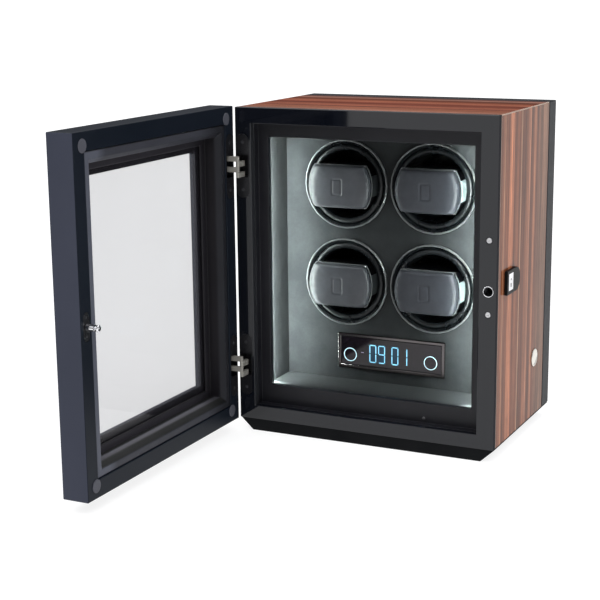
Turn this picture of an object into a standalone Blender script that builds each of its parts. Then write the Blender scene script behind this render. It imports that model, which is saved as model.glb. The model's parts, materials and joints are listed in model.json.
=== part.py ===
"""Four-place watch winder box: a veneered cabinet, a glazed door, four turning rotors and a touch display.

Metres, +Z up. X runs left to right, Y front to back, and the origin is the centre of the base's underside.
The model stands as it is used with its door open at a right angle.
"""

import math

import bmesh
import bpy
from mathutils import Matrix, Vector

# Driving sizes
WIDTH = 0.257
DEPTH = 0.171
FACE_HEIGHT = 0.300
BASE_HEIGHT = 0.012
PANEL = 0.012
GAP = 0.0003
EDGE_ROUND = 0.0008

# Places that follow from them
HALF = WIDTH / 2
FRONT = -DEPTH / 2
REAR = DEPTH / 2
BOTTOM = BASE_HEIGHT
TOP = BASE_HEIGHT + FACE_HEIGHT

# Front frame and the ledge behind it
FRAME_THICK = 0.006
OPENING_HALF = 0.112
OPENING_LOW = BOTTOM + 0.0135
OPENING_HIGH = BOTTOM + 0.285
LEDGE_FRONT = FRONT + 0.0147
LEDGE_BACK = FRONT + 0.0207
LEDGE_HALF = 0.1018
LEDGE_LOW = BOTTOM + 0.032
LEDGE_HIGH = BOTTOM + 0.2715

# Wood sleeve, rear cover
SLEEVE_FRONT = FRONT + FRAME_THICK
SLEEVE_BACK = FRONT + 0.1484
COVER_FRONT = FRONT + 0.1494
COVER_WALL = 0.004

# Interior
LINER_HALF = 0.108
LINER_LOW = BOTTOM + 0.031
LINER_HIGH = BOTTOM + 0.273
LINER_WALL = 0.003
PANEL_FACE = FRONT + 0.0665
PANEL_BOARD = 0.004

# Rotors: distances along a rotor's own axis are from the panel's face, forward positive
ROTOR_X = 0.0443
ROTOR_ROWS = (BOTTOM + 0.2236, BOTTOM + 0.1285)
RING_RADIUS = 0.0427
RING_INNER = 0.0412
RIM_RADIUS = 0.0409
SKIRT_RADIUS = 0.0393
BOWL_RADIUS = 0.0330
BEAD_HALF_WIDTH = 0.0024
BEAD_CURVE = 0.0032
CUP_WALL = 0.0018
CUP_FLOOR = -0.046
CUP_BACK = -0.0495
HUB_BACK = -0.0545
HUB_RADIUS = 0.009
SHAFT_RADIUS = 0.003
SHAFT_FRONT = -0.0482
SHAFT_BACK = -0.0645
MOTOR_FACE = -0.057
MOTOR_BACK = -0.094
MOTOR_BOARD_FACE = -0.0575
MOTOR_BOSS = 0.010
GEARBOX_RADIUS = 0.0185
MOTOR_RADIUS = 0.012
PANEL_HOLE = 0.0399
ROUND_STEPS = 26
RING_STEPS = 32

PILLOW_HALF_HEIGHT = 0.0204
PILLOW_HALF_WIDTH = 0.0307
PILLOW_CORNER_WIDTH = 0.0250
PILLOW_FRONT = 0.0265
PILLOW_BACK = -0.030

# Display
DISPLAY_X = 0.0023
DISPLAY_Z = BOTTOM + 0.0601
DISPLAY_HALF_WIDTH = 0.0555
DISPLAY_HALF_HEIGHT = 0.0175
BEZEL_RIM = 0.0034
BOARD_HALF_WIDTH = 0.056
BOARD_BELOW = 0.022
BOARD_ABOVE = 0.0185

# Door, standing open: its inner face looks along +X
HINGE_X = -HALF - 0.001
HINGE_Y = FRONT - 0.001
DOOR_WIDTH = 0.259
DOOR_THICK = 0.0249
DOOR_LOW = BOTTOM - 0.001
DOOR_HIGH = BOTTOM + 0.301
RAIL = 0.016
TRIM_INSET = 0.027
TRIM_FACE = 0.0008
TRIM_FLARE = 0.0045
BEAD_INSET = 0.0345
GLASS_INSET = 0.0403
LIP_THICK = 0.0036
GLASS_THICK = 0.0025
BEAD_THICK = 0.002

# Concealed hinges: places are from the hinge axis
HINGE_ROWS = {"upper": BOTTOM + 0.2452, "lower": BOTTOM + 0.0535}
LINK_REACH = 0.0085
LINK_RADIUS = 0.0016
LINK_PIN_RADIUS = 0.0012
LINK_SINK = 0.002
LINK_PITCH = 0.005
LINK_BAR = 0.0047
HINGE_PLATE_NEAR = 0.0021
HINGE_PLATE_FAR = 0.0147
HINGE_PLATE_HALF_LENGTH = 0.030
HINGE_PLATE_THICK = 0.002
HINGE_BODY_DEPTH = 0.0106
HINGE_BODY_HALF = 0.0122
HINGE_SLOT_NEAR = 0.0027
HINGE_SLOT_FAR = 0.0140
HINGE_SLOT_HALF = 0.0104
HINGE_SLOT_DEPTH = 0.0098

# Lock
LOCK_X = 0.121
LOCK_Z = BOTTOM + 0.1455
FERRULE_RADIUS = 0.0049
FERRULE_TUBE = 0.0046
FERRULE_BORE = 0.0043
CASE_BORE = 0.0035
CASE_INNER = 0.1169
CASE_OUTER = 0.1262
CASE_FRONT = FRONT + 0.0064
CASE_BACK = FRONT + 0.034
CASE_LOW = LOCK_Z - 0.024
CASE_HIGH = LOCK_Z + 0.0158
BOLT_FRONT = FRONT + 0.0077
BOLT_BACK = FRONT + 0.0092
BOLT_LOW = LOCK_Z + 0.0042
BOLT_HIGH = LOCK_Z + 0.0122
BOLT_HALF = 0.0024

STRIKE_HALF_LENGTH = 0.012
STRIKE_HALF_WIDTH = 0.0045
STRIKE_THICK = 0.001
PIN_LENGTH = 0.0125
DISC_RADIUS = 0.0026
DISC_DEPTH = 0.002
DISC_X = LOCK_X
DISC_ROWS = {"upper": BOTTOM + 0.191, "lower": BOTTOM + 0.1246}

# Power inlet in the rear cover
INLET_X = 0.082
INLET_Z = BOTTOM + 0.040
INLET_FLANGE = 0.0062
INLET_BARREL = 0.0046
INLET_BORE = 0.0029

# Things on the right-hand side
READER_FRONT = FRONT + 0.0215
READER_BACK = FRONT + 0.0580
READER_HALF_HEIGHT = 0.0109
READER_Z = BOTTOM + 0.1495
READER_PROUD = 0.0033
READER_PLATE_NEAR = 0.0042
READER_PLATE_FAR = 0.0165
READER_PLATE_HALF = 0.0077
BADGE_Y = FRONT + 0.1180
BADGE_Z = BOTTOM + 0.0585
BADGE_RADIUS = 0.0087

FACING = {
    "front": (math.pi / 2, 0, 0),
    "back": (-math.pi / 2, 0, 0),
    "right": (0, math.pi / 2, 0),
    "left": (0, -math.pi / 2, 0),
    "up": (0, 0, 0),
}


def clear_scene():
    for obj in list(bpy.data.objects):
        bpy.data.objects.remove(obj, do_unlink=True)


def new_collection(name):
    collection = bpy.data.collections.new(name)
    bpy.context.scene.collection.children.link(collection)
    return collection


def new_material(name, color, roughness, metallic=0.0):
    material = bpy.data.materials.new(name)
    material.use_nodes = True
    shader = material.node_tree.nodes["Principled BSDF"]
    shader.inputs["Base Color"].default_value = (*color, 1.0)
    shader.inputs["Roughness"].default_value = roughness
    shader.inputs["Metallic"].default_value = metallic
    material.diffuse_color = (*color, 1.0)
    return material


clear_scene()
parts = new_collection("watch_winder_box")
cutters = new_collection("cutters")


def add_object(name, data, material=None, location=(0, 0, 0), rotation=(0, 0, 0)):
    """A part when it has a material, and otherwise a cutter."""
    obj = bpy.data.objects.new(name, data)
    obj.location = location
    obj.rotation_euler = rotation
    if material is None:
        cutters.objects.link(obj)
        obj.hide_render = True
        obj.display_type = "WIRE"
    else:
        parts.objects.link(obj)
        data.materials.append(material)
    return obj


def box(name, low, high, material=None):
    """A box between two corners, with its origin at its centre."""
    low, high = Vector(low), Vector(high)
    work = bmesh.new()
    bmesh.ops.create_cube(work, size=1.0, matrix=Matrix.Diagonal((*(high - low), 1.0)))
    mesh = bpy.data.meshes.new(name)
    work.to_mesh(mesh)
    work.free()
    return add_object(name, mesh, material, (low + high) / 2)


def turned(name, profile, centre, facing, material=None, steps=ROUND_STEPS):
    """A profile of (radius, distance forward) turned about the axis that leaves centre the way it faces."""
    mesh = bpy.data.meshes.new(name)
    edges = [(i, i + 1) for i in range(len(profile) - 1)]
    mesh.from_pydata([(radius, 0, forward) for radius, forward in profile], edges, [])
    obj = add_object(name, mesh, material, centre, FACING[facing])
    screw = obj.modifiers.new("turn", "SCREW")
    screw.axis = "Z"
    screw.steps = steps
    screw.render_steps = steps
    screw.use_merge_vertices = True
    screw.merge_threshold = 0.00001
    screw.use_smooth_shade = True
    return obj


def rod(name, radius, start, end, centre, facing, material=None, steps=24):
    """A plain cylinder from distance start to distance end along its axis."""
    profile = [(0, end), (radius, end), (radius, start), (0, start)]
    return turned(name, profile, centre, facing, material, steps)


def slab(name, outline, thickness, centre, rotation, material=None):
    """A flat outline given in its own X and Y, as thick as stated, as a mesh."""
    curve = bpy.data.curves.new(name, "CURVE")
    curve.dimensions = "2D"
    curve.fill_mode = "BOTH"
    curve.extrude = thickness / 2
    spline = curve.splines.new("POLY")
    spline.points.add(len(outline) - 1)
    for point, (x, y) in zip(spline.points, outline):
        point.co = (x, y, 0, 1)
    spline.use_cyclic_u = True
    drawn = bpy.data.objects.new(name, curve)
    cutters.objects.link(drawn)
    bpy.context.view_layer.update()
    mesh = bpy.data.meshes.new_from_object(drawn.evaluated_get(bpy.context.evaluated_depsgraph_get()))
    bpy.data.objects.remove(drawn)
    work = bmesh.new()
    work.from_mesh(mesh)
    bmesh.ops.remove_doubles(work, verts=work.verts, dist=0.000001)
    bmesh.ops.recalc_face_normals(work, faces=work.faces)
    work.to_mesh(mesh)
    work.free()
    mesh.name = name
    return add_object(name, mesh, material, centre, rotation)


def arc(centre, radius, start, end, steps):
    """Points on an arc, with its angles in degrees."""
    angles = [math.radians(start + (end - start) * i / steps) for i in range(steps + 1)]
    return [(centre[0] + radius * math.cos(a), centre[1] + radius * math.sin(a)) for a in angles]


def stadium(half_length, radius, steps=8):
    """An outline with round ends, long along its own Y."""
    straight = half_length - radius
    return arc((0, straight), radius, 0, 180, steps) + arc((0, -straight), radius, 180, 360, steps)


def combine(obj, other, operation):
    boolean = obj.modifiers.new(operation.lower(), "BOOLEAN")
    boolean.operation = operation
    boolean.object = other
    boolean.solver = "EXACT"


def cut(obj, *others):
    for other in others:
        combine(obj, other, "DIFFERENCE")


def join(obj, *others):
    for other in others:
        combine(obj, other, "UNION")


def round_edges(obj, width, segments=2, angle=40):
    bevel = obj.modifiers.new("round", "BEVEL")
    bevel.width = width
    bevel.segments = segments
    bevel.limit_method = "ANGLE"
    bevel.angle_limit = math.radians(angle)
    bevel.harden_normals = False


def empty(name, location, parent=None):
    """A joint axis: what moves with the joint hangs from it."""
    pivot = bpy.data.objects.new(name, None)
    pivot.location = location
    pivot.empty_display_size = 0.01
    parts.objects.link(pivot)
    if parent:
        bpy.context.view_layer.update()
        hang(parent, pivot)
    return pivot


def hang(pivot, *children):
    bpy.context.view_layer.update()
    for child in children:
        child.parent = pivot
        child.matrix_parent_inverse = pivot.matrix_world.inverted()


gloss_black = new_material("gloss_black", (0.008, 0.009, 0.011), 0.06)
satin_black = new_material("satin_black", (0.022, 0.022, 0.025), 0.38)
ebony_veneer = new_material("ebony_veneer", (0.23, 0.10, 0.065), 0.14)
grey_suede = new_material("grey_suede", (0.20, 0.23, 0.22), 0.95)
black_abs = new_material("black_abs", (0.015, 0.016, 0.017), 0.12)
black_leather = new_material("black_leather", (0.045, 0.047, 0.052), 0.45)
chrome_trim = new_material("chrome_trim", (0.78, 0.78, 0.80), 0.10, 1.0)
nickel_links = new_material("nickel_links", (0.62, 0.60, 0.56), 0.25, 1.0)
black_zinc = new_material("black_zinc", (0.02, 0.02, 0.022), 0.35, 0.6)
steel = new_material("steel", (0.55, 0.55, 0.56), 0.32, 1.0)
clear_glass = new_material("clear_glass", (0.90, 0.94, 0.95), 0.02)
display_glass = new_material("display_glass", (0.006, 0.008, 0.012), 0.04)
circuit_green = new_material("circuit_green", (0.02, 0.12, 0.05), 0.5)
badge_metal = new_material("badge_metal", (0.80, 0.76, 0.68), 0.28, 1.0)
rubber_dot = new_material("rubber_dot", (0.10, 0.10, 0.11), 0.6)
led_diffuser = new_material("led_diffuser", (0.85, 0.90, 0.90), 0.4)
mount_board = new_material("mount_board", (0.30, 0.21, 0.13), 0.8)


def lofted(name, rings, material):
    """A closed solid through rings of points, each ring with as many points as the others."""
    count = len(rings[0])
    points = [point for ring in rings for point in ring]
    faces = [tuple(range(count)), tuple(range(len(points) - count, len(points)))]
    for start in range(0, len(points) - count, count):
        for i in range(count):
            j = (i + 1) % count
            faces.append((start + i, start + j, start + count + j, start + count + i))
    work = bmesh.new()
    corners = [work.verts.new(point) for point in points]
    for face in faces:
        work.faces.new([corners[i] for i in face])
    bmesh.ops.recalc_face_normals(work, faces=work.faces)
    mesh = bpy.data.meshes.new(name)
    work.to_mesh(mesh)
    work.free()
    return add_object(name, mesh, material)


def sleeve_panel(name, across, side, low, high, material):
    """One wall of the mitred sleeve, with its outer edges rounded.

    across is the axis that the wall is thin along, side its direction from the middle, and low and high the
    wall's ends along the other axis of the box's cross-section.
    """
    outer = side * HALF if across == 0 else (TOP if side > 0 else BOTTOM)
    inner_low, inner_high = low + PANEL + GAP / 2, high - PANEL - GAP / 2
    corner = 0.0012
    turns = [math.radians(18 * step) for step in range(6)]
    edge = [(EDGE_ROUND * (1 - math.sin(turn)), EDGE_ROUND * (1 - math.cos(turn))) for turn in turns]
    front = [(SLEEVE_FRONT + GAP + set_back, inset) for set_back, inset in reversed(edge)]
    back = [(SLEEVE_BACK - set_back, inset) for set_back, inset in edge]
    rings = []
    for y, inset in front + back:
        curve = arc((high - corner, -corner), corner - inset, 45, 90, 4)
        outline = [(inner_high, -PANEL)]
        outline += [(along - GAP / 2, depth) for along, depth in curve]
        outline += [(low + high - along + GAP / 2, depth) for along, depth in curve[::-1]]
        outline += [(inner_low, -PANEL)]
        ring = []
        for along, depth in outline:
            level = outer + side * depth
            ring.append((level, y, along) if across == 0 else (along, y, level))
        rings.append(ring)
    return lofted(name, rings, material)


def make_sleeve():
    sleeve_panel("top_panel", 2, 1, -HALF, HALF, ebony_veneer)
    sleeve_panel("bottom_panel", 2, -1, -HALF, HALF, satin_black)
    left = sleeve_panel("left_panel", 0, -1, BOTTOM, TOP, ebony_veneer)
    right = sleeve_panel("right_panel", 0, 1, BOTTOM, TOP, ebony_veneer)

    for row, z in HINGE_ROWS.items():
        pocket = box(
            f"cut_left_panel_{row}",
            (HINGE_X + HINGE_PLATE_NEAR - GAP, SLEEVE_FRONT - 0.001, z - HINGE_BODY_HALF - GAP),
            (-HALF + PANEL + 0.001, FRONT + HINGE_BODY_DEPTH + GAP, z + HINGE_BODY_HALF + GAP),
        )
        cut(left, pocket)

    case_pocket = box(
        "cut_right_panel_case",
        (HALF - PANEL - 0.001, SLEEVE_FRONT - 0.001, CASE_LOW - GAP),
        (CASE_OUTER + GAP, CASE_BACK + GAP, CASE_HIGH + GAP),
    )
    cut(right, case_pocket)


def make_front_frame():
    back = FRONT + FRAME_THICK - GAP / 2
    frame = box("front_frame", (-HALF, FRONT, BOTTOM), (HALF, back, TOP), gloss_black)
    opening = box(
        "cut_front_opening",
        (-OPENING_HALF, FRONT - 0.01, OPENING_LOW),
        (OPENING_HALF, FRONT + 0.02, OPENING_HIGH),
    )
    cut(frame, opening)
    round_edges(frame, 0.0006)
    for row, z in HINGE_ROWS.items():
        cut(frame, hinge_hole(f"cut_front_frame_{row}", z))
    cut(frame, rod("cut_lock_hole", FERRULE_TUBE + GAP, -0.02, 0.02, (LOCK_X, FRONT, LOCK_Z), "front"))
    for place, z in DISC_ROWS.items():
        centre = (DISC_X, FRONT, z)
        cut(frame, rod(f"cut_disc_{place}", DISC_RADIUS + GAP, -DISC_DEPTH - GAP, 0.01, centre, "front"))


def hinge_hole(name, z):
    """The round-ended hole in the front frame that a hinge's plate sits in."""
    middle = HINGE_X + (HINGE_PLATE_NEAR + HINGE_PLATE_FAR) / 2
    half_width = (HINGE_PLATE_FAR - HINGE_PLATE_NEAR) / 2 + GAP
    outline = stadium(HINGE_PLATE_HALF_LENGTH + GAP, half_width)
    return slab(name, outline, 0.03, (middle, FRONT, z), FACING["front"])


def make_inner_frame():
    """The trim behind the front frame: a return round the opening, then a ledge over the liner's edge."""
    half = HALF - PANEL - 0.0005
    low, high = BOTTOM + PANEL + GAP, TOP - PANEL - GAP
    frame = box("inner_frame", (-half, SLEEVE_FRONT + GAP, low), (half, LEDGE_BACK, high), satin_black)
    recess = box(
        "cut_inner_recess",
        (-OPENING_HALF, FRONT - 0.01, OPENING_LOW),
        (OPENING_HALF, LEDGE_FRONT, OPENING_HIGH),
    )
    window = box(
        "cut_inner_window",
        (-LEDGE_HALF, FRONT - 0.01, LEDGE_LOW),
        (LEDGE_HALF, FRONT + 0.03, LEDGE_HIGH),
    )
    cut(frame, recess, window)
    round_edges(frame, 0.0005)
    for row, z in HINGE_ROWS.items():
        notch = box(
            f"cut_inner_frame_{row}",
            (-half - 0.01, FRONT, z - HINGE_BODY_HALF - GAP),
            (HINGE_X + HINGE_PLATE_FAR + GAP, FRONT + HINGE_BODY_DEPTH + GAP, z + HINGE_BODY_HALF + GAP),
        )
        cut(frame, notch)


def make_liner():
    """The suede-covered lining of the watch space, a square tube from the ledge back to the rotor panel."""
    front, back = LEDGE_BACK + GAP, PANEL_FACE - GAP
    liner = box(
        "interior_liner",
        (-LINER_HALF - LINER_WALL, front, LINER_LOW - LINER_WALL),
        (LINER_HALF + LINER_WALL, back, LINER_HIGH + LINER_WALL),
        grey_suede,
    )
    space = box(
        "cut_liner_space",
        (-LINER_HALF, front - 0.01, LINER_LOW),
        (LINER_HALF, back + 0.01, LINER_HIGH),
    )
    cut(liner, space)


def rotor_centres():
    """Rotor number and its place on the panel's face, top left first."""
    number = 0
    for z in ROTOR_ROWS:
        for x in (-ROTOR_X, ROTOR_X):
            number += 1
            yield number, Vector((x, PANEL_FACE, z))


def make_rotor_panel():
    half = HALF - PANEL - 0.0005
    low, high = BOTTOM + PANEL + GAP, TOP - PANEL - GAP
    panel = box("rotor_panel", (-half, PANEL_FACE, low), (half, PANEL_FACE + PANEL_BOARD, high), grey_suede)
    for number, centre in rotor_centres():
        hole = rod(f"cut_panel_hole_{number}", PANEL_HOLE, -0.02, 0.02, centre, "front", steps=ROUND_STEPS)
        cut(panel, hole)
    slot_half_width = DISPLAY_HALF_WIDTH - BEZEL_RIM
    slot_half_height = DISPLAY_HALF_HEIGHT - BEZEL_RIM
    slot = box(
        "cut_display_slot",
        (DISPLAY_X - slot_half_width, PANEL_FACE - 0.01, DISPLAY_Z - slot_half_height),
        (DISPLAY_X + slot_half_width, PANEL_FACE + 0.01, DISPLAY_Z + slot_half_height),
    )
    cut(panel, slot)


def make_rear_cover():
    """The black back of the case: a shallow tray with a tongue that goes inside the sleeve."""
    cover = box("rear_cover", (-HALF, COVER_FRONT, BOTTOM), (HALF, REAR, TOP), gloss_black)
    round_edges(cover, 0.0008)
    tongue_half = HALF - PANEL - 0.0005
    tongue = box(
        "rear_cover_tongue",
        (-tongue_half, COVER_FRONT - 0.006, BOTTOM + PANEL + GAP * 2),
        (tongue_half, COVER_FRONT + 0.002, TOP - PANEL - GAP * 2),
    )
    join(cover, tongue)
    pocket = box(
        "cut_rear_cover",
        (-tongue_half + COVER_WALL, COVER_FRONT - 0.02, BOTTOM + PANEL + COVER_WALL),
        (tongue_half - COVER_WALL, REAR - COVER_WALL, TOP - PANEL - COVER_WALL),
    )
    inlet_hole = rod("cut_inlet_hole", INLET_BARREL + GAP, -0.03, 0.01, (INLET_X, REAR, INLET_Z), "back")
    cut(cover, pocket, inlet_hole)


def make_power_inlet():
    """A round low-voltage socket through the rear cover. The profile's last stretch is its centre pin."""
    pin_radius = 0.001
    profile = [
        (0, -0.001),
        (pin_radius, -0.001),
        (pin_radius, -0.0085),
        (INLET_BORE, -0.0085),
        (INLET_BORE, 0.0006),
        (INLET_FLANGE, 0.0006),
        (INLET_FLANGE, GAP / 3),
        (INLET_BARREL, GAP / 3),
        (INLET_BARREL, -0.010),
        (0, -0.010),
    ]
    centre = (INLET_X, REAR + GAP, INLET_Z)
    turned("power_inlet", profile, centre, "back", black_abs, 24)


def make_plinth():
    """The base: as wide as the case at its top, and narrower where it stands."""
    side_inset, end_inset = 0.0127, 0.002
    low, high = (-HALF, FRONT + end_inset, 0), (HALF, REAR - end_inset, BOTTOM - GAP)
    plinth = box("base_plinth", low, high, gloss_black)
    for vertex in plinth.data.vertices:
        if vertex.co.z < 0:
            vertex.co.x -= math.copysign(side_inset, vertex.co.x)


def make_display():
    back = PANEL_FACE - GAP
    bezel = box(
        "display_bezel",
        (DISPLAY_X - DISPLAY_HALF_WIDTH, back - 0.0022, DISPLAY_Z - DISPLAY_HALF_HEIGHT),
        (DISPLAY_X + DISPLAY_HALF_WIDTH, back, DISPLAY_Z + DISPLAY_HALF_HEIGHT),
        chrome_trim,
    )
    inner_half_width = DISPLAY_HALF_WIDTH - BEZEL_RIM
    inner_half_height = DISPLAY_HALF_HEIGHT - BEZEL_RIM
    hole = box(
        "cut_bezel",
        (DISPLAY_X - inner_half_width, back - 0.01, DISPLAY_Z - inner_half_height),
        (DISPLAY_X + inner_half_width, back + 0.01, DISPLAY_Z + inner_half_height),
    )
    cut(bezel, hole)
    round_edges(bezel, 0.0007, 3)
    box(
        "display_window",
        (DISPLAY_X - inner_half_width + GAP, back - 0.0012, DISPLAY_Z - inner_half_height + GAP),
        (DISPLAY_X + inner_half_width - GAP, back + 0.0030, DISPLAY_Z + inner_half_height - GAP),
        display_glass,
    )
    make_control_board()


def make_control_board():
    """The circuit board behind the display, with plain chips on its back. Each is (x, z, width, height)."""
    front = PANEL_FACE + PANEL_BOARD + GAP
    board_thick, chip_rise = 0.0016, 0.0045
    board = box(
        "control_board",
        (DISPLAY_X - BOARD_HALF_WIDTH, front, DISPLAY_Z - BOARD_BELOW),
        (DISPLAY_X + BOARD_HALF_WIDTH, front + board_thick, DISPLAY_Z + BOARD_ABOVE),
        circuit_green,
    )
    chips = (
        (-0.040, -0.015, 0.014, 0.010),
        (-0.010, -0.015, 0.020, 0.012),
        (0.030, -0.015, 0.010, 0.016),
    )
    for number, (x, z, width, height) in enumerate(chips):
        chip = box(
            f"board_chip_{number}",
            (DISPLAY_X + x, front + board_thick / 2, DISPLAY_Z + z),
            (DISPLAY_X + x + width, front + chip_rise, DISPLAY_Z + z + height),
        )
        join(board, chip)


def make_light_strips():
    """An LED strip stands behind each side of the ledge, where it can't be seen from in front."""
    for name, side in (("light_strip_left", -1), ("light_strip_right", 1)):
        near, far = side * (LEDGE_HALF + 0.0030), side * (LINER_HALF - 0.0006)
        low_x, high_x = sorted((near, far))
        box(
            name,
            (low_x, LEDGE_BACK + GAP, LINER_LOW + 0.003),
            (high_x, LEDGE_BACK + GAP + 0.0018, LINER_HIGH - 0.003),
            led_diffuser,
        )


def make_lock():
    """The chromed hole in the front frame, and the case and bolt that hold the door's pin behind it."""
    flange_proud, tube_back = 0.0004, -0.0055
    profile = [
        (FERRULE_BORE, tube_back),
        (FERRULE_BORE, flange_proud * 0.5),
        (FERRULE_BORE + 0.0002, flange_proud),
        (FERRULE_RADIUS - 0.0002, flange_proud),
        (FERRULE_RADIUS, flange_proud * 0.5),
        (FERRULE_RADIUS, 0),
        (FERRULE_TUBE, 0),
        (FERRULE_TUBE, tube_back),
        (FERRULE_BORE, tube_back),
    ]
    turned("lock_ferrule", profile, (LOCK_X, FRONT - 0.0001, LOCK_Z), "front", chrome_trim, 20)

    case = box(
        "lock_case",
        (CASE_INNER, CASE_FRONT, CASE_LOW),
        (CASE_OUTER, CASE_BACK, CASE_HIGH),
        black_zinc,
    )
    pin_bore = rod("cut_case_bore", CASE_BORE, -0.016, 0.01, (LOCK_X, FRONT, LOCK_Z), "front")
    channel = box(
        "cut_case_channel",
        (LOCK_X - BOLT_HALF - GAP, BOLT_FRONT - GAP, LOCK_Z),
        (LOCK_X + BOLT_HALF + GAP, BOLT_BACK + GAP, BOLT_HIGH + GAP),
    )
    cut(case, pin_bore, channel)

    bolt = box(
        "lock_bolt",
        (LOCK_X - BOLT_HALF, BOLT_FRONT, BOLT_LOW),
        (LOCK_X + BOLT_HALF, BOLT_BACK, BOLT_HIGH),
        steel,
    )
    pivot = empty("lock_bolt_slide", (LOCK_X, (BOLT_FRONT + BOLT_BACK) / 2, BOLT_LOW))
    hang(pivot, bolt)


def make_discs():
    """Two small round contacts beside the lock, each with a dimple in its middle."""
    for place, z in DISC_ROWS.items():
        profile = [(0, -0.0004), (DISC_RADIUS * 0.4, 0.0001), (DISC_RADIUS - 0.0004, 0.0001)]
        profile += [(DISC_RADIUS, -0.0003), (DISC_RADIUS, -DISC_DEPTH), (0, -DISC_DEPTH)]
        turned(f"frame_disc_{place}", profile, (DISC_X, FRONT, z), "front", steel, 20)


def make_reader():
    """The fingerprint reader on the right-hand side: a block with one round end, and its bright plate."""
    straight = READER_BACK - READER_FRONT - READER_HALF_HEIGHT
    outline = [(0, -READER_HALF_HEIGHT)]
    outline += arc((straight, 0), READER_HALF_HEIGHT, -90, 90, 14)
    outline += [(0, READER_HALF_HEIGHT)]
    face = HALF + READER_PROUD
    middle_x = (HALF + GAP + face) / 2
    thick = face - HALF - GAP
    upright = (math.pi / 2, 0, math.pi / 2)
    housing = slab("reader_housing", outline, thick, (middle_x, READER_FRONT, READER_Z), upright, black_abs)
    round_edges(housing, 0.0008)
    recess_depth = 0.001
    pocket = box(
        "cut_reader_recess",
        (face - recess_depth, READER_FRONT + READER_PLATE_NEAR - GAP, READER_Z - READER_PLATE_HALF - GAP),
        (face + 0.01, READER_FRONT + READER_PLATE_FAR + GAP, READER_Z + READER_PLATE_HALF + GAP),
    )
    cut(housing, pocket)
    box(
        "reader_plate",
        (face - recess_depth + GAP, READER_FRONT + READER_PLATE_NEAR, READER_Z - READER_PLATE_HALF),
        (face - GAP / 3, READER_FRONT + READER_PLATE_FAR, READER_Z + READER_PLATE_HALF),
        chrome_trim,
    )


def make_badge():
    """A plain round metal badge, with nothing on it."""
    profile = [
        (0, 0.0005),
        (BADGE_RADIUS - 0.0020, 0.0005),
        (BADGE_RADIUS - 0.0016, 0.0008),
        (BADGE_RADIUS - 0.0005, 0.0008),
        (BADGE_RADIUS, 0.0004),
        (BADGE_RADIUS, 0),
        (0, 0),
    ]
    turned("side_badge", profile, (HALF + GAP, BADGE_Y, BADGE_Z), "right", badge_metal, 28)


def make_motor_board():
    """The board across the back of the rotors that their geared motors are bolted to."""
    half = HALF - PANEL - 0.0005
    low, high = BOTTOM + PANEL + GAP, TOP - PANEL - GAP
    face = PANEL_FACE - MOTOR_BOARD_FACE
    board = box("motor_board", (-half, face, low), (half, face + 0.004, high), mount_board)
    for number, centre in rotor_centres():
        cut(board, rod(f"cut_motor_hole_{number}", MOTOR_BOSS + GAP, -0.08, -0.04, centre, "front"))


def make_motor(number, centre):
    """A motor with its gearbox in front. Its boss goes through the board and holds the shaft's bore."""
    board_back = MOTOR_BOARD_FACE - 0.004 - GAP
    bore = SHAFT_RADIUS + GAP
    profile = [
        (0, SHAFT_BACK - GAP),
        (bore, SHAFT_BACK - GAP),
        (bore, MOTOR_FACE),
        (MOTOR_BOSS, MOTOR_FACE),
        (MOTOR_BOSS, board_back),
        (GEARBOX_RADIUS, board_back),
        (GEARBOX_RADIUS, board_back - 0.015),
        (MOTOR_RADIUS, board_back - 0.015),
        (MOTOR_RADIUS, MOTOR_BACK),
        (0, MOTOR_BACK),
    ]
    turned(f"rotor_motor_{number}", profile, centre, "front", steel, 24)


def make_cup(number, centre):
    """The rotor's black drum: a deep bowl with a round bead, a groove and a rim, and a hub at the back."""
    bead_base = 0.0002
    bead_middle = BOWL_RADIUS + BEAD_HALF_WIDTH
    bead_slope = math.degrees(math.asin(BEAD_HALF_WIDTH / BEAD_CURVE))
    bead_centre = bead_base - BEAD_CURVE * math.cos(math.radians(bead_slope))
    outer_radius = BOWL_RADIUS + CUP_WALL
    bore = SHAFT_RADIUS + GAP
    profile = [(0, CUP_FLOOR)]
    profile += arc((BOWL_RADIUS - 0.006, CUP_FLOOR + 0.006), 0.006, -90, 0, 3)
    profile += arc((bead_middle, bead_centre), BEAD_CURVE, 90 + bead_slope, 90 - bead_slope, 6)
    profile += [
        (bead_middle + BEAD_HALF_WIDTH + 0.0002, -0.0014),
        (SKIRT_RADIUS, 0.0010),
        (RIM_RADIUS, 0.0020),
        (RIM_RADIUS, 0.0009),
        (SKIRT_RADIUS, 0.0005),
        (SKIRT_RADIUS, -0.0030),
        (outer_radius, -0.0056),
        (outer_radius, CUP_BACK + 0.006),
        (outer_radius - 0.006, CUP_BACK),
        (HUB_RADIUS, CUP_BACK),
        (HUB_RADIUS, HUB_BACK),
        (bore, HUB_BACK),
        (bore, SHAFT_FRONT + GAP),
        (0, SHAFT_FRONT + GAP),
    ]
    return turned(f"rotor_cup_{number}", profile, centre, "front", black_abs)


def make_ring(number, centre):
    profile = [
        (RING_INNER, 0.0008),
        (RING_INNER, 0.0026),
        (RING_INNER + 0.0004, 0.0030),
        (RING_RADIUS - 0.0006, 0.0030),
        (RING_RADIUS, 0.0023),
        (RING_RADIUS, 0.0008),
        (RING_INNER, 0.0008),
    ]
    return turned(f"rotor_ring_{number}", profile, centre, "front", chrome_trim, RING_STEPS)


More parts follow.
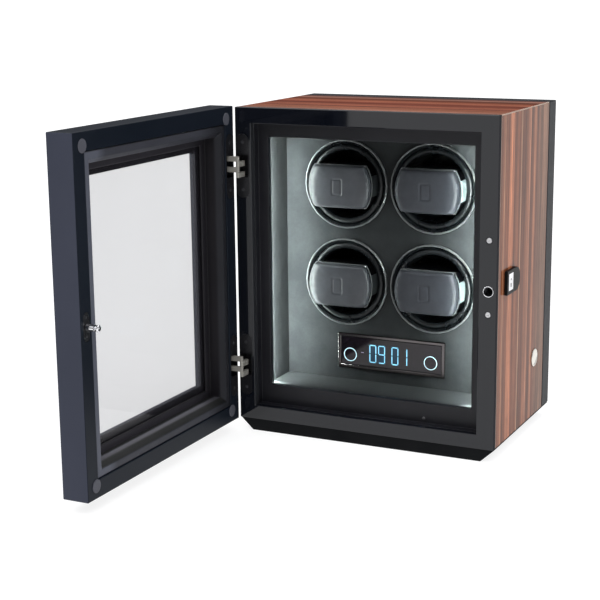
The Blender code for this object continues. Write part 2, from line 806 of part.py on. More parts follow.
def make_pillow(number, centre):
    """The watch pillow as a plain solid: flat above and below, with rounded ends and a crowned front."""
    rise = PILLOW_HALF_WIDTH - PILLOW_CORNER_WIDTH
    end_radius = (rise**2 + PILLOW_HALF_HEIGHT**2) / (2 * rise)
    sweep = math.degrees(math.asin(PILLOW_HALF_HEIGHT / end_radius))
    outline = arc((PILLOW_HALF_WIDTH - end_radius, 0), end_radius, -sweep, sweep, 6)
    outline += arc((end_radius - PILLOW_HALF_WIDTH, 0), end_radius, 180 - sweep, 180 + sweep, 6)
    length = PILLOW_FRONT - PILLOW_BACK
    middle = centre - Vector((0, (PILLOW_FRONT + PILLOW_BACK) / 2, 0))
    pillow = slab(f"watch_pillow_{number}", outline, length, middle, FACING["front"], black_leather)
    round_edges(pillow, 0.006, 2, 75)
    return pillow


def make_rotors():
    for number, centre in rotor_centres():
        make_motor(number, centre)
        cup = make_cup(number, centre)
        ring = make_ring(number, centre)
        shaft_ends = (SHAFT_BACK, SHAFT_FRONT)
        shaft = rod(f"rotor_shaft_{number}", SHAFT_RADIUS, *shaft_ends, centre, "front", steel, 16)
        pillow = make_pillow(number, centre)
        spin = empty(f"rotor_{number}_spin", centre)
        pull = empty(f"pillow_{number}_pull", centre, spin)
        hang(spin, cup, ring, shaft)
        hang(pull, pillow)


def make_hinge_cup(name, z, on_door):
    """One hinge's mortise: a round-ended plate with a body behind it, slotted for the links.

    It is drawn for the cabinet and turned a quarter turn about the hinge axis for the door.
    """
    set_back = 0 if on_door else HINGE_Y - FRONT
    middle = (HINGE_PLATE_NEAR + HINGE_PLATE_FAR) / 2
    half_width = (HINGE_PLATE_FAR - HINGE_PLATE_NEAR) / 2
    plate_y = HINGE_PLATE_THICK / 2
    cup = slab(
        name,
        stadium(HINGE_PLATE_HALF_LENGTH, half_width),
        HINGE_PLATE_THICK,
        (middle, plate_y, 0),
        FACING["front"],
        black_zinc,
    )
    body = box(
        f"{name}_body",
        (HINGE_PLATE_NEAR, HINGE_PLATE_THICK / 2, -HINGE_BODY_HALF),
        (HINGE_PLATE_FAR, HINGE_BODY_DEPTH, HINGE_BODY_HALF),
    )
    slot = box(
        f"{name}_slot",
        (HINGE_SLOT_NEAR, -0.01, -HINGE_SLOT_HALF),
        (HINGE_SLOT_FAR, HINGE_SLOT_DEPTH, HINGE_SLOT_HALF),
    )
    join(cup, body)
    cut(cup, slot)
    turn = Matrix()
    if on_door:
        turn = Matrix.Rotation(-math.pi / 2, 4, "Z") @ Matrix.Scale(-1, 4, (0, 1, 0))
    place = Matrix.Translation((HINGE_X, HINGE_Y - set_back, z)) @ turn
    for obj in (cup, body, slot):
        move_mesh(obj, place)
    return cup


def move_mesh(obj, place):
    """Put a piece where the matrix says by moving its mesh, with a mirrored one's faces turned back out."""
    bpy.context.view_layer.update()
    whole = place @ obj.matrix_world
    obj.data.transform(whole)
    if whole.determinant() < 0:
        obj.data.flip_normals()
    obj.location = (0, 0, 0)
    obj.rotation_euler = (0, 0, 0)


def make_link(name, z):
    """A hinge's link stack: two bars reach into the door, two into the cabinet, and a pin joins them."""
    corner = Vector((HINGE_X + LINK_REACH, HINGE_Y - LINK_REACH, z))
    half_height = 2 * LINK_PITCH - 0.0002
    link = rod(name, LINK_PIN_RADIUS, -half_height, half_height, corner, "up", nickel_links, 12)
    reach = LINK_REACH + LINK_SINK
    outline = stadium(reach / 2 + LINK_RADIUS, LINK_RADIUS, 6)
    for level in range(4):
        level_z = z + (1.5 - level) * LINK_PITCH
        to_door = level % 2 == 0
        offset = Vector((-reach / 2, 0, 0)) if to_door else Vector((0, reach / 2, 0))
        middle = Vector((corner.x, corner.y, level_z)) + offset
        turn = (0, 0, math.pi / 2) if to_door else (0, 0, 0)
        join(link, slab(f"{name}_bar_{level}", outline, LINK_BAR, middle, turn))
    return link


def door_box(name, inset, shallow, deep, material=None):
    """A box in the open door: inset from its edges, between two depths from its inner face."""
    return box(
        name,
        (HINGE_X - deep, HINGE_Y - DOOR_WIDTH + inset, DOOR_LOW + inset),
        (HINGE_X - shallow, HINGE_Y - inset, DOOR_HIGH - inset),
        material,
    )


def flared_mouth():
    """The cutter that opens the trim's well out to a slope, a little past the trim's face."""
    past = TRIM_FACE / 2
    mouth = door_box("cut_trim_mouth", TRIM_INSET, TRIM_FACE - past, TRIM_FACE + TRIM_FLARE)
    for vertex in mouth.data.vertices:
        if vertex.co.x > 0:
            vertex.co.y += math.copysign(TRIM_FLARE + past, vertex.co.y)
            vertex.co.z += math.copysign(TRIM_FLARE + past, vertex.co.z)
    return mouth


def make_door():
    lip_front = DOOR_THICK - LIP_THICK
    frame = door_box("door_frame", 0, 0, DOOR_THICK, gloss_black)
    rebate = door_box("cut_door_rebate", RAIL, -0.01, lip_front)
    sight = door_box("cut_door_sight", GLASS_INSET, -0.01, DOOR_THICK + 0.01)
    cut(frame, rebate, sight)
    round_edges(frame, 0.0008)

    glass_front = lip_front - GAP - GLASS_THICK
    glass = door_box("door_glass", RAIL + 0.001, glass_front, glass_front + GLASS_THICK, clear_glass)

    trim_back = glass_front - GAP
    trim = door_box("door_trim", RAIL + GAP, TRIM_FACE, trim_back, satin_black)
    well = door_box("cut_trim_well", TRIM_INSET, -0.01, trim_back - BEAD_THICK)
    through = door_box("cut_trim_bead", BEAD_INSET, -0.01, DOOR_THICK + 0.01)
    cut(trim, flared_mouth(), well, through)
    round_edges(trim, 0.0013, 2)

    hung = [frame, glass, trim]
    hung += make_strike(frame)
    hung += make_bumpers()
    for row, z in HINGE_ROWS.items():
        pocket = hinge_pocket(row, z)
        cut(frame, *pocket)
        hung.append(make_hinge_cup(f"hinge_cup_door_{row}", z, True))
    swing = empty("door_hinge", (HINGE_X, HINGE_Y, (DOOR_LOW + DOOR_HIGH) / 2))
    hang(swing, *hung)

    for row, z in HINGE_ROWS.items():
        make_hinge_cup(f"hinge_cup_cabinet_{row}", z, False)
        turn = empty(f"hinge_link_{row}_turn", (HINGE_X, HINGE_Y, z))
        hang(turn, make_link(f"hinge_link_{row}", z))


def hinge_pocket(row, z):
    """The mortise in the door for one hinge: a round-ended recess for its plate, and a deeper one in it."""
    middle = HINGE_Y - (HINGE_PLATE_NEAR + HINGE_PLATE_FAR) / 2
    half_width = (HINGE_PLATE_FAR - HINGE_PLATE_NEAR) / 2 + GAP
    depth = HINGE_PLATE_THICK + GAP
    over = 0.005
    shallow = slab(
        f"cut_door_plate_{row}",
        stadium(HINGE_PLATE_HALF_LENGTH + GAP, half_width),
        depth + over,
        (HINGE_X + (over - depth) / 2, middle, z),
        (math.pi / 2, 0, math.pi / 2),
    )
    deep = box(
        f"cut_door_body_{row}",
        (HINGE_X - HINGE_BODY_DEPTH - GAP, middle - half_width, z - HINGE_BODY_HALF - GAP),
        (HINGE_X + over, middle + half_width, z + HINGE_BODY_HALF + GAP),
    )
    return shallow, deep


def make_strike(frame):
    """The stout pin with a neck that the lock holds, on a small round-ended plate let into the door."""
    y = HINGE_Y - (LOCK_X - HINGE_X)
    upright = (math.pi / 2, 0, math.pi / 2)
    plate = slab(
        "strike_plate",
        stadium(STRIKE_HALF_LENGTH, STRIKE_HALF_WIDTH),
        STRIKE_THICK,
        (HINGE_X - STRIKE_THICK / 2 - 0.0001, y, LOCK_Z),
        upright,
        black_zinc,
    )
    recess_depth = STRIKE_THICK + 0.0001 + GAP
    over = 0.005
    recess = slab(
        "cut_strike_recess",
        stadium(STRIKE_HALF_LENGTH + GAP, STRIKE_HALF_WIDTH + GAP),
        recess_depth + over,
        (HINGE_X + (over - recess_depth) / 2, y, LOCK_Z),
        upright,
    )
    shank = 0.0016
    hole = rod("cut_strike_hole", shank + GAP, -0.010, 0.01, (HINGE_X, y, LOCK_Z), "right", steps=16)
    cut(frame, recess, hole)
    cut(plate, rod("cut_plate_hole", shank + GAP, -0.010, 0.01, (HINGE_X, y, LOCK_Z), "right", steps=16))
    neck, head = 0.0012, 0.0030
    profile = [
        (0, PIN_LENGTH),
        (head * 0.75, PIN_LENGTH - 0.0002),
        (head, PIN_LENGTH - 0.0008),
        (head, PIN_LENGTH - 0.0016),
        (neck, PIN_LENGTH - 0.0020),
        (neck, 0.0083),
        (head, 0.0080),
        (head, GAP + 0.0004),
        (head - 0.0004, GAP),
        (shank, GAP),
        (shank, -0.0090),
        (0, -0.0090),
    ]
    pin = turned("strike_pin", profile, (HINGE_X, y, LOCK_Z), "right", chrome_trim, 20)
    return [plate, pin]


def make_bumpers():
    """Soft dots at the door's corners. They fill most of the gap when it is shut."""
    from_hinge, from_free_edge, up, radius, thick = 0.0141, 0.0127, 0.0112, 0.0058, 0.0006
    places = {
        "hinge_top": (HINGE_Y - from_hinge, DOOR_HIGH - up),
        "hinge_bottom": (HINGE_Y - from_hinge, DOOR_LOW + up),
        "free_top": (HINGE_Y - DOOR_WIDTH + from_free_edge, DOOR_HIGH - up),
        "free_bottom": (HINGE_Y - DOOR_WIDTH + from_free_edge, DOOR_LOW + up),
    }
    profile = [(0, thick), (radius - 0.0006, thick), (radius, thick * 0.5), (radius, 0), (0, 0)]
    made = []
    for place, (y, z) in places.items():
        name = f"door_bumper_{place}"
        made.append(turned(name, profile, (HINGE_X + 0.0001, y, z), "right", rubber_dot, 20))
    return made


make_sleeve()
make_front_frame()
make_inner_frame()
make_liner()
make_rotor_panel()
make_rear_cover()
make_power_inlet()
make_plinth()
make_display()
make_light_strips()
make_lock()
make_discs()
make_reader()
make_badge()
make_motor_board()
make_rotors()
make_door()
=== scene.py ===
"""Looks for the four-place watch winder box: materials, cushions, display, hardware, floor, light and camera.

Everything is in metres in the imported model's own frame, so each piece is placed from the node it belongs to.
"""

import json
import math

import bmesh
import bpy
from mathutils import Matrix, Vector


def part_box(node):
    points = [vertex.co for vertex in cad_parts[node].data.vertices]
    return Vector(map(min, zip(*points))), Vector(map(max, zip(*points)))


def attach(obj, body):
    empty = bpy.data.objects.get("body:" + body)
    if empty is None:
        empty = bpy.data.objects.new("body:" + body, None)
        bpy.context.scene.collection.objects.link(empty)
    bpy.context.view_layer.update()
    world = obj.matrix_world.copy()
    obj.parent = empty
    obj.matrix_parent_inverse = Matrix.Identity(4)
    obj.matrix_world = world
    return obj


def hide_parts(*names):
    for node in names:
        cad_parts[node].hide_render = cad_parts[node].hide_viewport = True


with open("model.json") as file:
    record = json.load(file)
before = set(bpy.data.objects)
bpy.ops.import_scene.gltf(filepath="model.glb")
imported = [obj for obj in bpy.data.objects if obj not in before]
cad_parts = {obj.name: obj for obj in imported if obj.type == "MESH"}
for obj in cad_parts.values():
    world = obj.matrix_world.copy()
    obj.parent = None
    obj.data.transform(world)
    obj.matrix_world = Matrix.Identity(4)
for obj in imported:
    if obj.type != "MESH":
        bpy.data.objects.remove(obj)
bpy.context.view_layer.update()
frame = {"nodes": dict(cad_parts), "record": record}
NODES = frame["nodes"]
ROTORS = (1, 2, 3, 4)
RIGHT_COLUMN = (2, 4)

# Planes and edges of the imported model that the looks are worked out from
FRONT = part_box("front_frame")[0].y
PANEL_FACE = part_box("rotor_panel")[0].y
LEDGE_FRONT = FRONT + 0.0147
LEDGE_BACK = FRONT + 0.0207
LEDGE_SIDE = 0.1018
VENEER_FRONT = FRONT + 0.006
VENEER_BACK = FRONT + 0.1484
DOOR_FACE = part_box("door_frame")[1].x
FREE_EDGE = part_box("door_frame")[0].y
HINGE_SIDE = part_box("door_trim")[1].y - 0.012
SIGHT_INSET = 0.0403

FACING_RIGHT = Matrix.Rotation(math.pi / 2, 4, "Y")
FACING_FRONT = Matrix.Rotation(math.pi / 2, 4, "X")


# ---------------------------------------------------------------- material helpers


class Look:
    """A material being built: one Principled shader, and short calls for the nodes that feed it."""

    def __init__(self, name, color, roughness, metallic=0.0, **sockets):
        self.material = bpy.data.materials.new(name)
        self.material.use_nodes = True
        self.tree = self.material.node_tree
        self.shader = self.tree.nodes["Principled BSDF"]
        self.set("Base Color", (*color, 1.0))
        self.set("Roughness", roughness)
        self.set("Metallic", metallic)
        for socket, value in sockets.items():
            self.set(socket.replace("_", " "), value)

    def set(self, socket, value):
        """A value on one of the shader's own sockets."""
        self.shader.inputs[socket].default_value = value

    def node(self, kind, **settings):
        """A new node with some of its settings."""
        made = self.tree.nodes.new(kind)
        for name, value in settings.items():
            setattr(made, name, value)
        return made

    def link(self, output, target):
        """A link from a node's output to another node's input."""
        self.tree.links.new(output, target)

    def coordinates(self, scale=(1, 1, 1)):
        """The object's own coordinates, stretched."""
        source = self.node("ShaderNodeTexCoord")
        mapping = self.node("ShaderNodeMapping")
        mapping.inputs["Scale"].default_value = scale
        self.link(source.outputs["Object"], mapping.inputs["Vector"])
        return mapping.outputs["Vector"]

    def place(self):
        """The separate X, Y and Z of the object's own coordinates."""
        split = self.node("ShaderNodeSeparateXYZ")
        self.link(self.coordinates(), split.inputs["Vector"])
        return split.outputs

    def noise(self, scale, detail=2.0, rough=0.5, stretch=(1, 1, 1)):
        """Smooth noise, from 0 to 1."""
        made = self.node("ShaderNodeTexNoise")
        made.inputs["Scale"].default_value = scale
        made.inputs["Detail"].default_value = detail
        made.inputs["Roughness"].default_value = rough
        self.link(self.coordinates(stretch), made.inputs["Vector"])
        return made.outputs["Fac"]

    def cells(self, scale, feature="F1", randomness=1.0):
        """The distance to the middle or the edge of scattered cells."""
        made = self.node("ShaderNodeTexVoronoi", feature=feature)
        made.inputs["Scale"].default_value = scale
        made.inputs["Randomness"].default_value = randomness
        self.link(self.coordinates(), made.inputs["Vector"])
        return made.outputs["Distance"]

    def ramp(self, value, *stops):
        """Grey or colour stops, each (position, value)."""
        made = self.node("ShaderNodeValToRGB")
        elements = made.color_ramp.elements
        while len(elements) < len(stops):
            elements.new(0.5)
        for element, (position, color) in zip(elements, stops):
            element.position = position
            element.color = (*color, 1.0) if isinstance(color, tuple) else (color, color, color, 1.0)
        self.link(value, made.inputs["Fac"])
        return made.outputs["Color"]

    def between(self, value, low, high, low_value=0.0, high_value=1.0):
        """A value's place between two limits, taken to another range."""
        made = self.node("ShaderNodeMapRange")
        limits = {"From Min": low, "From Max": high, "To Min": low_value, "To Max": high_value}
        for socket, number in limits.items():
            made.inputs[socket].default_value = number
        self.link(value, made.inputs["Value"])
        return made.outputs["Result"]

    def spread(self, value, low, high):
        """A 0 to 1 value taken to the range from low to high."""
        return self.between(value, 0.0, 1.0, low, high)

    def within(self, value, low, high, soft):
        """1 between two limits and 0 past them, with a soft edge just inside each."""
        rise = self.between(value, low, low + soft)
        fall = self.between(value, high - soft, high, 1.0, 0.0)
        return self.times(rise, fall)

    def calculate(self, operation, first, second=None):
        """One sum with nodes' outputs."""
        made = self.node("ShaderNodeMath", operation=operation)
        self.link(first, made.inputs[0])
        if second:
            self.link(second, made.inputs[1])
        return made.outputs["Value"]

    def times(self, first, second):
        """The product of two nodes' outputs."""
        return self.calculate("MULTIPLY", first, second)

    def facing(self, direction, low, high, low_value=0.0, high_value=1.0):
        """How far the surface faces one of its object's directions, between two cosines."""
        source = self.node("ShaderNodeTexCoord")
        along = self.node("ShaderNodeVectorMath", operation="DOT_PRODUCT")
        along.inputs[1].default_value = Vector(direction).normalized()
        self.link(source.outputs["Normal"], along.inputs[0])
        return self.between(along.outputs["Value"], low, high, low_value, high_value)

    def mix(self, factor, first, second, blend="MIX"):
        """Two colours, each a colour or a node's output, mixed by a number or a node's output."""
        made = self.node("ShaderNodeMix", data_type="RGBA", blend_type=blend)
        for name, value in (("Factor", factor), ("A", first), ("B", second)):
            socket = next(s for s in made.inputs if s.name == name and s.enabled)
            if isinstance(value, bpy.types.NodeSocket):
                self.link(value, socket)
            else:
                socket.default_value = (*value, 1.0) if isinstance(value, tuple) else value
        return next(s for s in made.outputs if s.enabled)

    def shade(self, first, second, amount=1.0):
        """One colour multiplied by another."""
        return self.mix(amount, first, second, "MULTIPLY")

    def bump(self, *layers):
        """Each layer is (height, depth in metres, strength)."""
        normal = None
        for height, depth, strength in layers:
            made = self.node("ShaderNodeBump")
            made.inputs["Distance"].default_value = depth
            made.inputs["Strength"].default_value = strength
            self.link(height, made.inputs["Height"])
            if normal:
                self.link(normal, made.inputs["Normal"])
            normal = made.outputs["Normal"]
        self.link(normal, self.shader.inputs["Normal"])

    def color_from(self, output):
        """The surface's colour, from a node."""
        self.link(output, self.shader.inputs["Base Color"])

    def rough_from(self, output):
        """The surface's roughness, from a node."""
        self.link(output, self.shader.inputs["Roughness"])

    def glow_from(self, color, strength=None):
        """The colour of the light that the surface gives, from a node, and at will how strong it is."""
        self.link(color, self.shader.inputs["Emission Color"])
        if strength:
            self.link(strength, self.shader.inputs["Emission Strength"])


# ---------------------------------------------------------------- wood, lacquer and paint

LIP_GREY = (0.030, 0.028, 0.034)
STRIP_SIDE = 0.20

# Painted highlights on the veneer's rounded edges, where they would catch the light: along the top of the
# side, and down its front
EDGE_HIGHLIGHTS = (((1, 0, 0.9), (0.62, 0.50, 0.42)), ((1, -1, 0), (0.42, 0.31, 0.26)))


def frame_lacquer():
    """The front frame's polished black lacquer, dull on the rim that stands beside the veneer."""
    low, high = (0.003, 0.004, 0.007), (0.005, 0.006, 0.010)
    look = Look("gloss_black", low, 0.10)
    look.rough_from(look.facing((1, 0, 0), 0.4, 0.8, 0.06, 1.0))
    look.color_from(look.ramp(look.noise(9, 3), (0.3, low), (0.7, high)))
    look.bump((look.noise(160, 1), 0.00002, 0.10))
    return look.material


def satin_black(name, low, high, shine):
    """Satin lacquer, with the fine texture of sprayed paint."""
    look = Look(name, low, 0.42, Specular_IOR_Level=shine)
    look.color_from(look.ramp(look.noise(25, 3), (0.3, low), (0.75, high)))
    look.rough_from(look.spread(look.noise(300, 2), 0.36, 0.50))
    look.bump((look.noise(2200, 2), 0.00003, 0.25))
    return look.material


def door_paint():
    """The door's satin navy paint: a painted highlight, paler navy, on the free edge's front face, and greyer
    on the lip behind the glass.
    """
    look = Look("door_paint", (0.008, 0.010, 0.015), 0.38, Specular_IOR_Level=0.10)
    patches = look.noise(12, 3)
    face = look.ramp(patches, (0.3, (0.006, 0.009, 0.015)), (0.7, (0.008, 0.011, 0.018)))
    # Painted highlight: a paler navy for the free edge's front face, where the front light falls
    pale = look.ramp(patches, (0.3, (0.041, 0.046, 0.067)), (0.7, (0.049, 0.054, 0.078)))
    place = look.place()
    free = look.between(place["Y"], FREE_EDGE + 0.003, FREE_EDGE + 0.005, 1.0, 0.0)
    color = look.mix(look.times(free, look.facing((0, -1, 0), 0.5, 0.6)), face, pale)
    deep = look.between(place["X"], DOOR_FACE - 0.018, DOOR_FACE - 0.016, 1.0, 0.0)
    lip = look.times(deep, look.facing((1, 0, 0), 0.5, 0.6))
    look.color_from(look.mix(lip, color, LIP_GREY))
    look.rough_from(look.spread(patches, 0.34, 0.42))
    look.bump((look.noise(1500, 2), 0.00001, 0.2))
    return look.material


def trim_paint():
    """The trim's satin paint, with painted light: paler at its mouth and more so by the free edge, painted
    pale bands where it faces up below, and painted shade that darkens it by the hinges.
    """
    look = Look("trim_paint", (0.03, 0.03, 0.036), 0.5, Specular_IOR_Level=0.15)
    place = look.place()
    # Painted light: paler towards the trim's mouth, and much paler near the free edge
    depth = look.between(place["X"], DOOR_FACE - 0.0075, DOOR_FACE - 0.0045)
    deep = (0.034, 0.031, 0.038)
    ground = look.ramp(depth, (0.0, deep), (1.0, (0.044, 0.045, 0.056)))
    beside = look.ramp(depth, (0.0, deep), (1.0, (0.092, 0.098, 0.124)))
    by_free_edge = look.between(place["Y"], FREE_EDGE + 0.034, FREE_EDGE + 0.046, 1.0, 0.0)
    ground = look.mix(by_free_edge, ground, beside)
    # Painted highlights: pale bands part way in, on the faces that look up
    whole = look.between(place["X"], DOOR_FACE - 0.0165, DOOR_FACE - 0.001)
    below = look.ramp(
        whole,
        (0.0, 0.014),
        (0.20, 0.022),
        (0.36, (0.135, 0.132, 0.152)),
        (0.58, (0.108, 0.106, 0.120)),
        (0.74, 0.034),
        (1.0, 0.024),
    )
    ground = look.mix(look.facing((0, 0, 1), 0.3, 0.6), ground, below)
    # Painted shade: darker towards the hinges
    ground = look.shade(ground, look.between(place["Y"], HINGE_SIDE - 0.03, HINGE_SIDE, 1.0, 0.36))
    look.color_from(look.shade(ground, look.ramp(look.noise(30, 3), (0.3, 0.85), (0.7, 1.1)), 0.6))
    look.rough_from(look.spread(look.noise(300, 2), 0.42, 0.55))
    look.bump((look.noise(2200, 2), 0.00001, 0.15))
    return look.material


# Stripes across the veneer, each (place from the front to the back, colour)
SIDE_STRIPES = (
    (0.00, (0.170, 0.052, 0.024)),
    (0.07, (0.270, 0.095, 0.045)),
    (0.085, (0.420, 0.200, 0.110)),
    (0.10, (0.190, 0.060, 0.028)),
    (0.17, (0.200, 0.062, 0.026)),
    (0.20, (0.540, 0.200, 0.100)),
    (0.26, (0.470, 0.165, 0.080)),
    (0.28, (0.130, 0.036, 0.016)),
    (0.33, (0.250, 0.085, 0.040)),
    (0.40, (0.180, 0.055, 0.024)),
    (0.42, (0.460, 0.240, 0.140)),
    (0.435, (0.120, 0.036, 0.016)),
    (0.50, (0.140, 0.045, 0.022)),
    (0.55, (0.270, 0.100, 0.050)),
    (0.60, (0.400, 0.165, 0.095)),
    (0.62, (0.100, 0.032, 0.015)),
    (0.67, (0.180, 0.062, 0.032)),
    (0.70, (0.450, 0.180, 0.095)),
    (0.745, (0.130, 0.045, 0.026)),
    (0.80, (0.210, 0.092, 0.054)),
    (0.86, (0.150, 0.070, 0.042)),
    (0.92, (0.260, 0.130, 0.080)),
    (1.00, (0.170, 0.085, 0.055)),
)

TOP_STRIPES = (
    (0.00, (0.330, 0.160, 0.120)),
    (0.06, (0.290, 0.120, 0.075)),
    (0.14, (0.300, 0.105, 0.060)),
    (0.20, (0.290, 0.098, 0.056)),
    (0.25, (0.190, 0.055, 0.032)),
    (0.32, (0.310, 0.098, 0.058)),
    (0.40, (0.270, 0.082, 0.046)),
    (0.45, (0.150, 0.034, 0.018)),
    (0.54, (0.180, 0.040, 0.022)),
    (0.59, (0.340, 0.110, 0.062)),
    (0.68, (0.280, 0.084, 0.044)),
    (0.74, (0.170, 0.044, 0.022)),
    (0.82, (0.130, 0.034, 0.018)),
    (0.88, (0.330, 0.160, 0.115)),
    (0.94, (0.150, 0.060, 0.045)),
    (1.00, (0.070, 0.024, 0.020)),
)


def ebony_veneer(name, stripes):
    """Striped ebony under clear lacquer. Its stripes follow one another from the front to the back.

    The grain runs across on top and down the sides, so along the grain every pattern is stretched out.
    """
    look = Look(name, (0.2, 0.07, 0.03), 0.45, Coat_Weight=0.45, Coat_Roughness=0.03, Specular_IOR_Level=0.0)
    grain = (0.03, 1, 0.03)
    sway = look.spread(look.noise(30, 2, 0.5, (0.06, 1, 0.06)), -0.012, 0.012)
    along = look.between(look.place()["Y"], VENEER_FRONT, VENEER_BACK)
    ground = look.ramp(look.calculate("ADD", along, sway), *stripes)
    figure = look.ramp(look.noise(190, 4, 0.65, grain), (0.30, 0.55), (0.50, 1.0), (0.70, 1.55))
    color = look.shade(ground, figure, 0.8)
    fine = look.ramp(look.noise(620, 3, 0.6, grain), (0.34, 0.50), (0.50, 1.0), (0.66, 1.45))
    color = look.shade(color, fine, 0.7)
    pores = look.noise(2600, 1, 0.5, grain)
    color = look.shade(color, look.ramp(pores, (0.36, 0.45), (0.44, 1.0)), 0.5)
    # Painted highlights: a paler colour on the faces that point along each rounded edge
    for direction, pale in EDGE_HIGHLIGHTS:
        color = look.mix(look.facing(direction, 0.88, 0.97), color, pale)
    look.color_from(color)
    look.bump((pores, 0.00002, 0.08))
    return look.material


# ---------------------------------------------------------------- suede, plastic, leather and rubber


def grey_suede():
    """Microfibre suede: a nap that lies several ways, with painted shade that darkens it towards the middle,
    the floor more, and painted pools of light in two front corners of the floor.
    """
    look = Look("grey_suede", (0.05, 0.055, 0.057), 0.92, Sheen_Weight=0.08, Sheen_Roughness=0.5)
    look.set("Sheen Tint", (0.85, 0.9, 0.9, 1.0))
    look.set("Specular IOR Level", 0.15)
    nap = look.noise(38, 5, 0.6)
    fibre = look.noise(2400, 2, 0.6)
    ground = look.ramp(nap, (0.34, (0.040, 0.044, 0.046)), (0.66, (0.060, 0.065, 0.067)))
    ground = look.shade(ground, look.ramp(fibre, (0.30, 0.72), (0.70, 1.0)))
    place = look.place()
    # Painted shade: darker towards the middle, away from the light strips at the sides, and more so on faces
    # that look up
    sideways = look.calculate("ABSOLUTE", place["X"])
    ground = look.shade(ground, look.between(sideways, 0.030, 0.088, 0.36, 1.0))
    upward = look.facing((0, 0, 1), 0.5, 0.9)
    dim = look.shade(ground, look.between(sideways, 0.050, 0.098, 0.55, 1.0))
    ground = look.mix(upward, ground, dim)
    # Painted pools of light: pale on the floor just behind the ledge, by each light strip
    beside = look.between(sideways, LEDGE_SIDE - 0.016, LEDGE_SIDE)
    behind = look.between(place["Y"], LEDGE_BACK + 0.002, LEDGE_BACK + 0.011, 1.0, 0.0)
    corner = look.times(look.times(beside, behind), upward)
    look.color_from(look.mix(corner, ground, (0.48, 0.53, 0.53)))
    look.bump((nap, 0.0004, 0.12), (fibre, 0.00012, 0.5))
    return look.material


def cup_plastic():
    """Glossy black moulded plastic, with faint flow marks."""
    look = Look("cup_plastic", (0.006, 0.007, 0.008), 0.28, Specular_IOR_Level=0.32)
    marks = look.noise(60, 2, 0.5, (1, 0.3, 1))
    look.rough_from(look.spread(marks, 0.24, 0.32))
    look.color_from(look.ramp(marks, (0.3, (0.004, 0.005, 0.006)), (0.7, (0.008, 0.010, 0.011))))
    look.bump((look.noise(500, 2), 0.00001, 0.1))
    return look.material


def plate_plastic(name, low, high):
    """The satin plastic of the plates in the cushions' ends."""
    look = Look(name, low, 0.35)
    grain = look.noise(1200, 3, 0.6)
    look.color_from(look.ramp(grain, (0.35, low), (0.65, high)))
    look.rough_from(look.spread(grain, 0.30, 0.42))
    look.bump((grain, 0.00003, 0.25))
    return look.material


def leather(name, low, high, shine=0.5, painted_left_highlight=None):
    """Satin synthetic leather with a fine pebbled grain and a slight sheen, and at will a painted highlight: a
    paler colour on the faces that look left.
    """
    look = Look(name, low, 0.42, Sheen_Weight=0.10, Sheen_Roughness=0.4, Specular_IOR_Level=shine)
    pebbles = look.cells(1500)
    creases = look.noise(90, 4, 0.6)
    color = look.ramp(creases, (0.3, low), (0.7, high))
    # Painted highlight: faces that look left are mixed towards the paler colour
    if painted_left_highlight:
        color = look.mix(look.facing((-1, 0, 0), 0.10, 0.62), color, painted_left_highlight)
    look.color_from(look.shade(color, look.ramp(pebbles, (0.0, 0.78), (0.55, 1.0))))
    look.rough_from(look.spread(creases, 0.36, 0.48))
    look.bump((creases, 0.0003, 0.12), (pebbles, 0.00010, 0.40))
    return look.material


def soft_rubber():
    """The grey rubber of the door's bumpers."""
    low, high = (0.052, 0.054, 0.070), (0.080, 0.082, 0.101)
    look = Look("soft_rubber", low, 0.62)
    grain = look.noise(1800, 3, 0.6)
    look.color_from(look.ramp(grain, (0.35, low), (0.65, high)))
    look.rough_from(look.spread(grain, 0.55, 0.72))
    look.bump((grain, 0.00004, 0.35))
    return look.material


# ---------------------------------------------------------------- metal, glass and boards


def bright_metal(name, color, low, high, grain=(1, 1, 1), depth=0.15, metal=1.0):
    """Plated or bare metal: fine marks that run the way grain is short. A dull one is less than all metal."""
    look = Look(name, color, low, metal)
    marks = look.noise(1400, 3, 0.6, grain)
    look.rough_from(look.spread(marks, low, high))
    darker = tuple(c * 0.82 for c in color)
    look.color_from(look.ramp(look.noise(45, 3), (0.3, darker), (0.65, color)))
    look.bump((marks, 0.00001, depth))
    return look.material


def black_zinc():
    """Black coated casting, slightly rough."""
    low, high = (0.006, 0.006, 0.008), (0.014, 0.014, 0.017)
    look = Look("black_zinc", low, 0.34, 0.2)
    speckle = look.noise(1100, 3, 0.6)
    look.color_from(look.ramp(speckle, (0.35, low), (0.65, high)))
    look.rough_from(look.spread(speckle, 0.22, 0.36))
    look.bump((speckle, 0.00003, 0.3))
    return look.material


def clear_glass():
    """A pane that light goes straight on through, with faint wipe marks, and dark where it is glued."""
    look = Look("clear_glass", (0.24, 0.24, 0.27), 0.02, Alpha=0.26)
    marks = look.noise(14, 4, 0.6, (1, 1, 0.4))
    look.rough_from(look.spread(marks, 0.01, 0.04))
    cast = look.ramp(marks, (0.3, (0.22, 0.22, 0.25)), (0.7, (0.26, 0.26, 0.29)))
    low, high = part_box("door_frame")
    place = look.place()
    across = look.within(place["Y"], low.y + SIGHT_INSET, high.y - SIGHT_INSET, 0.0004)
    upright = look.within(place["Z"], low.z + SIGHT_INSET, high.z - SIGHT_INSET, 0.0004)
    look.color_from(look.mix(look.times(across, upright), LIP_GREY, cast))
    return look.material


def display_glass():
    """Black tinted glass over the display."""
    low, high = (0.004, 0.003, 0.005), (0.008, 0.005, 0.007)
    look = Look("display_glass", low, 0.05)
    smears = look.noise(70, 3, 0.6, (1, 1, 0.5))
    look.rough_from(look.spread(smears, 0.03, 0.09))
    look.color_from(look.ramp(smears, (0.3, low), (0.7, high)))
    return look.material


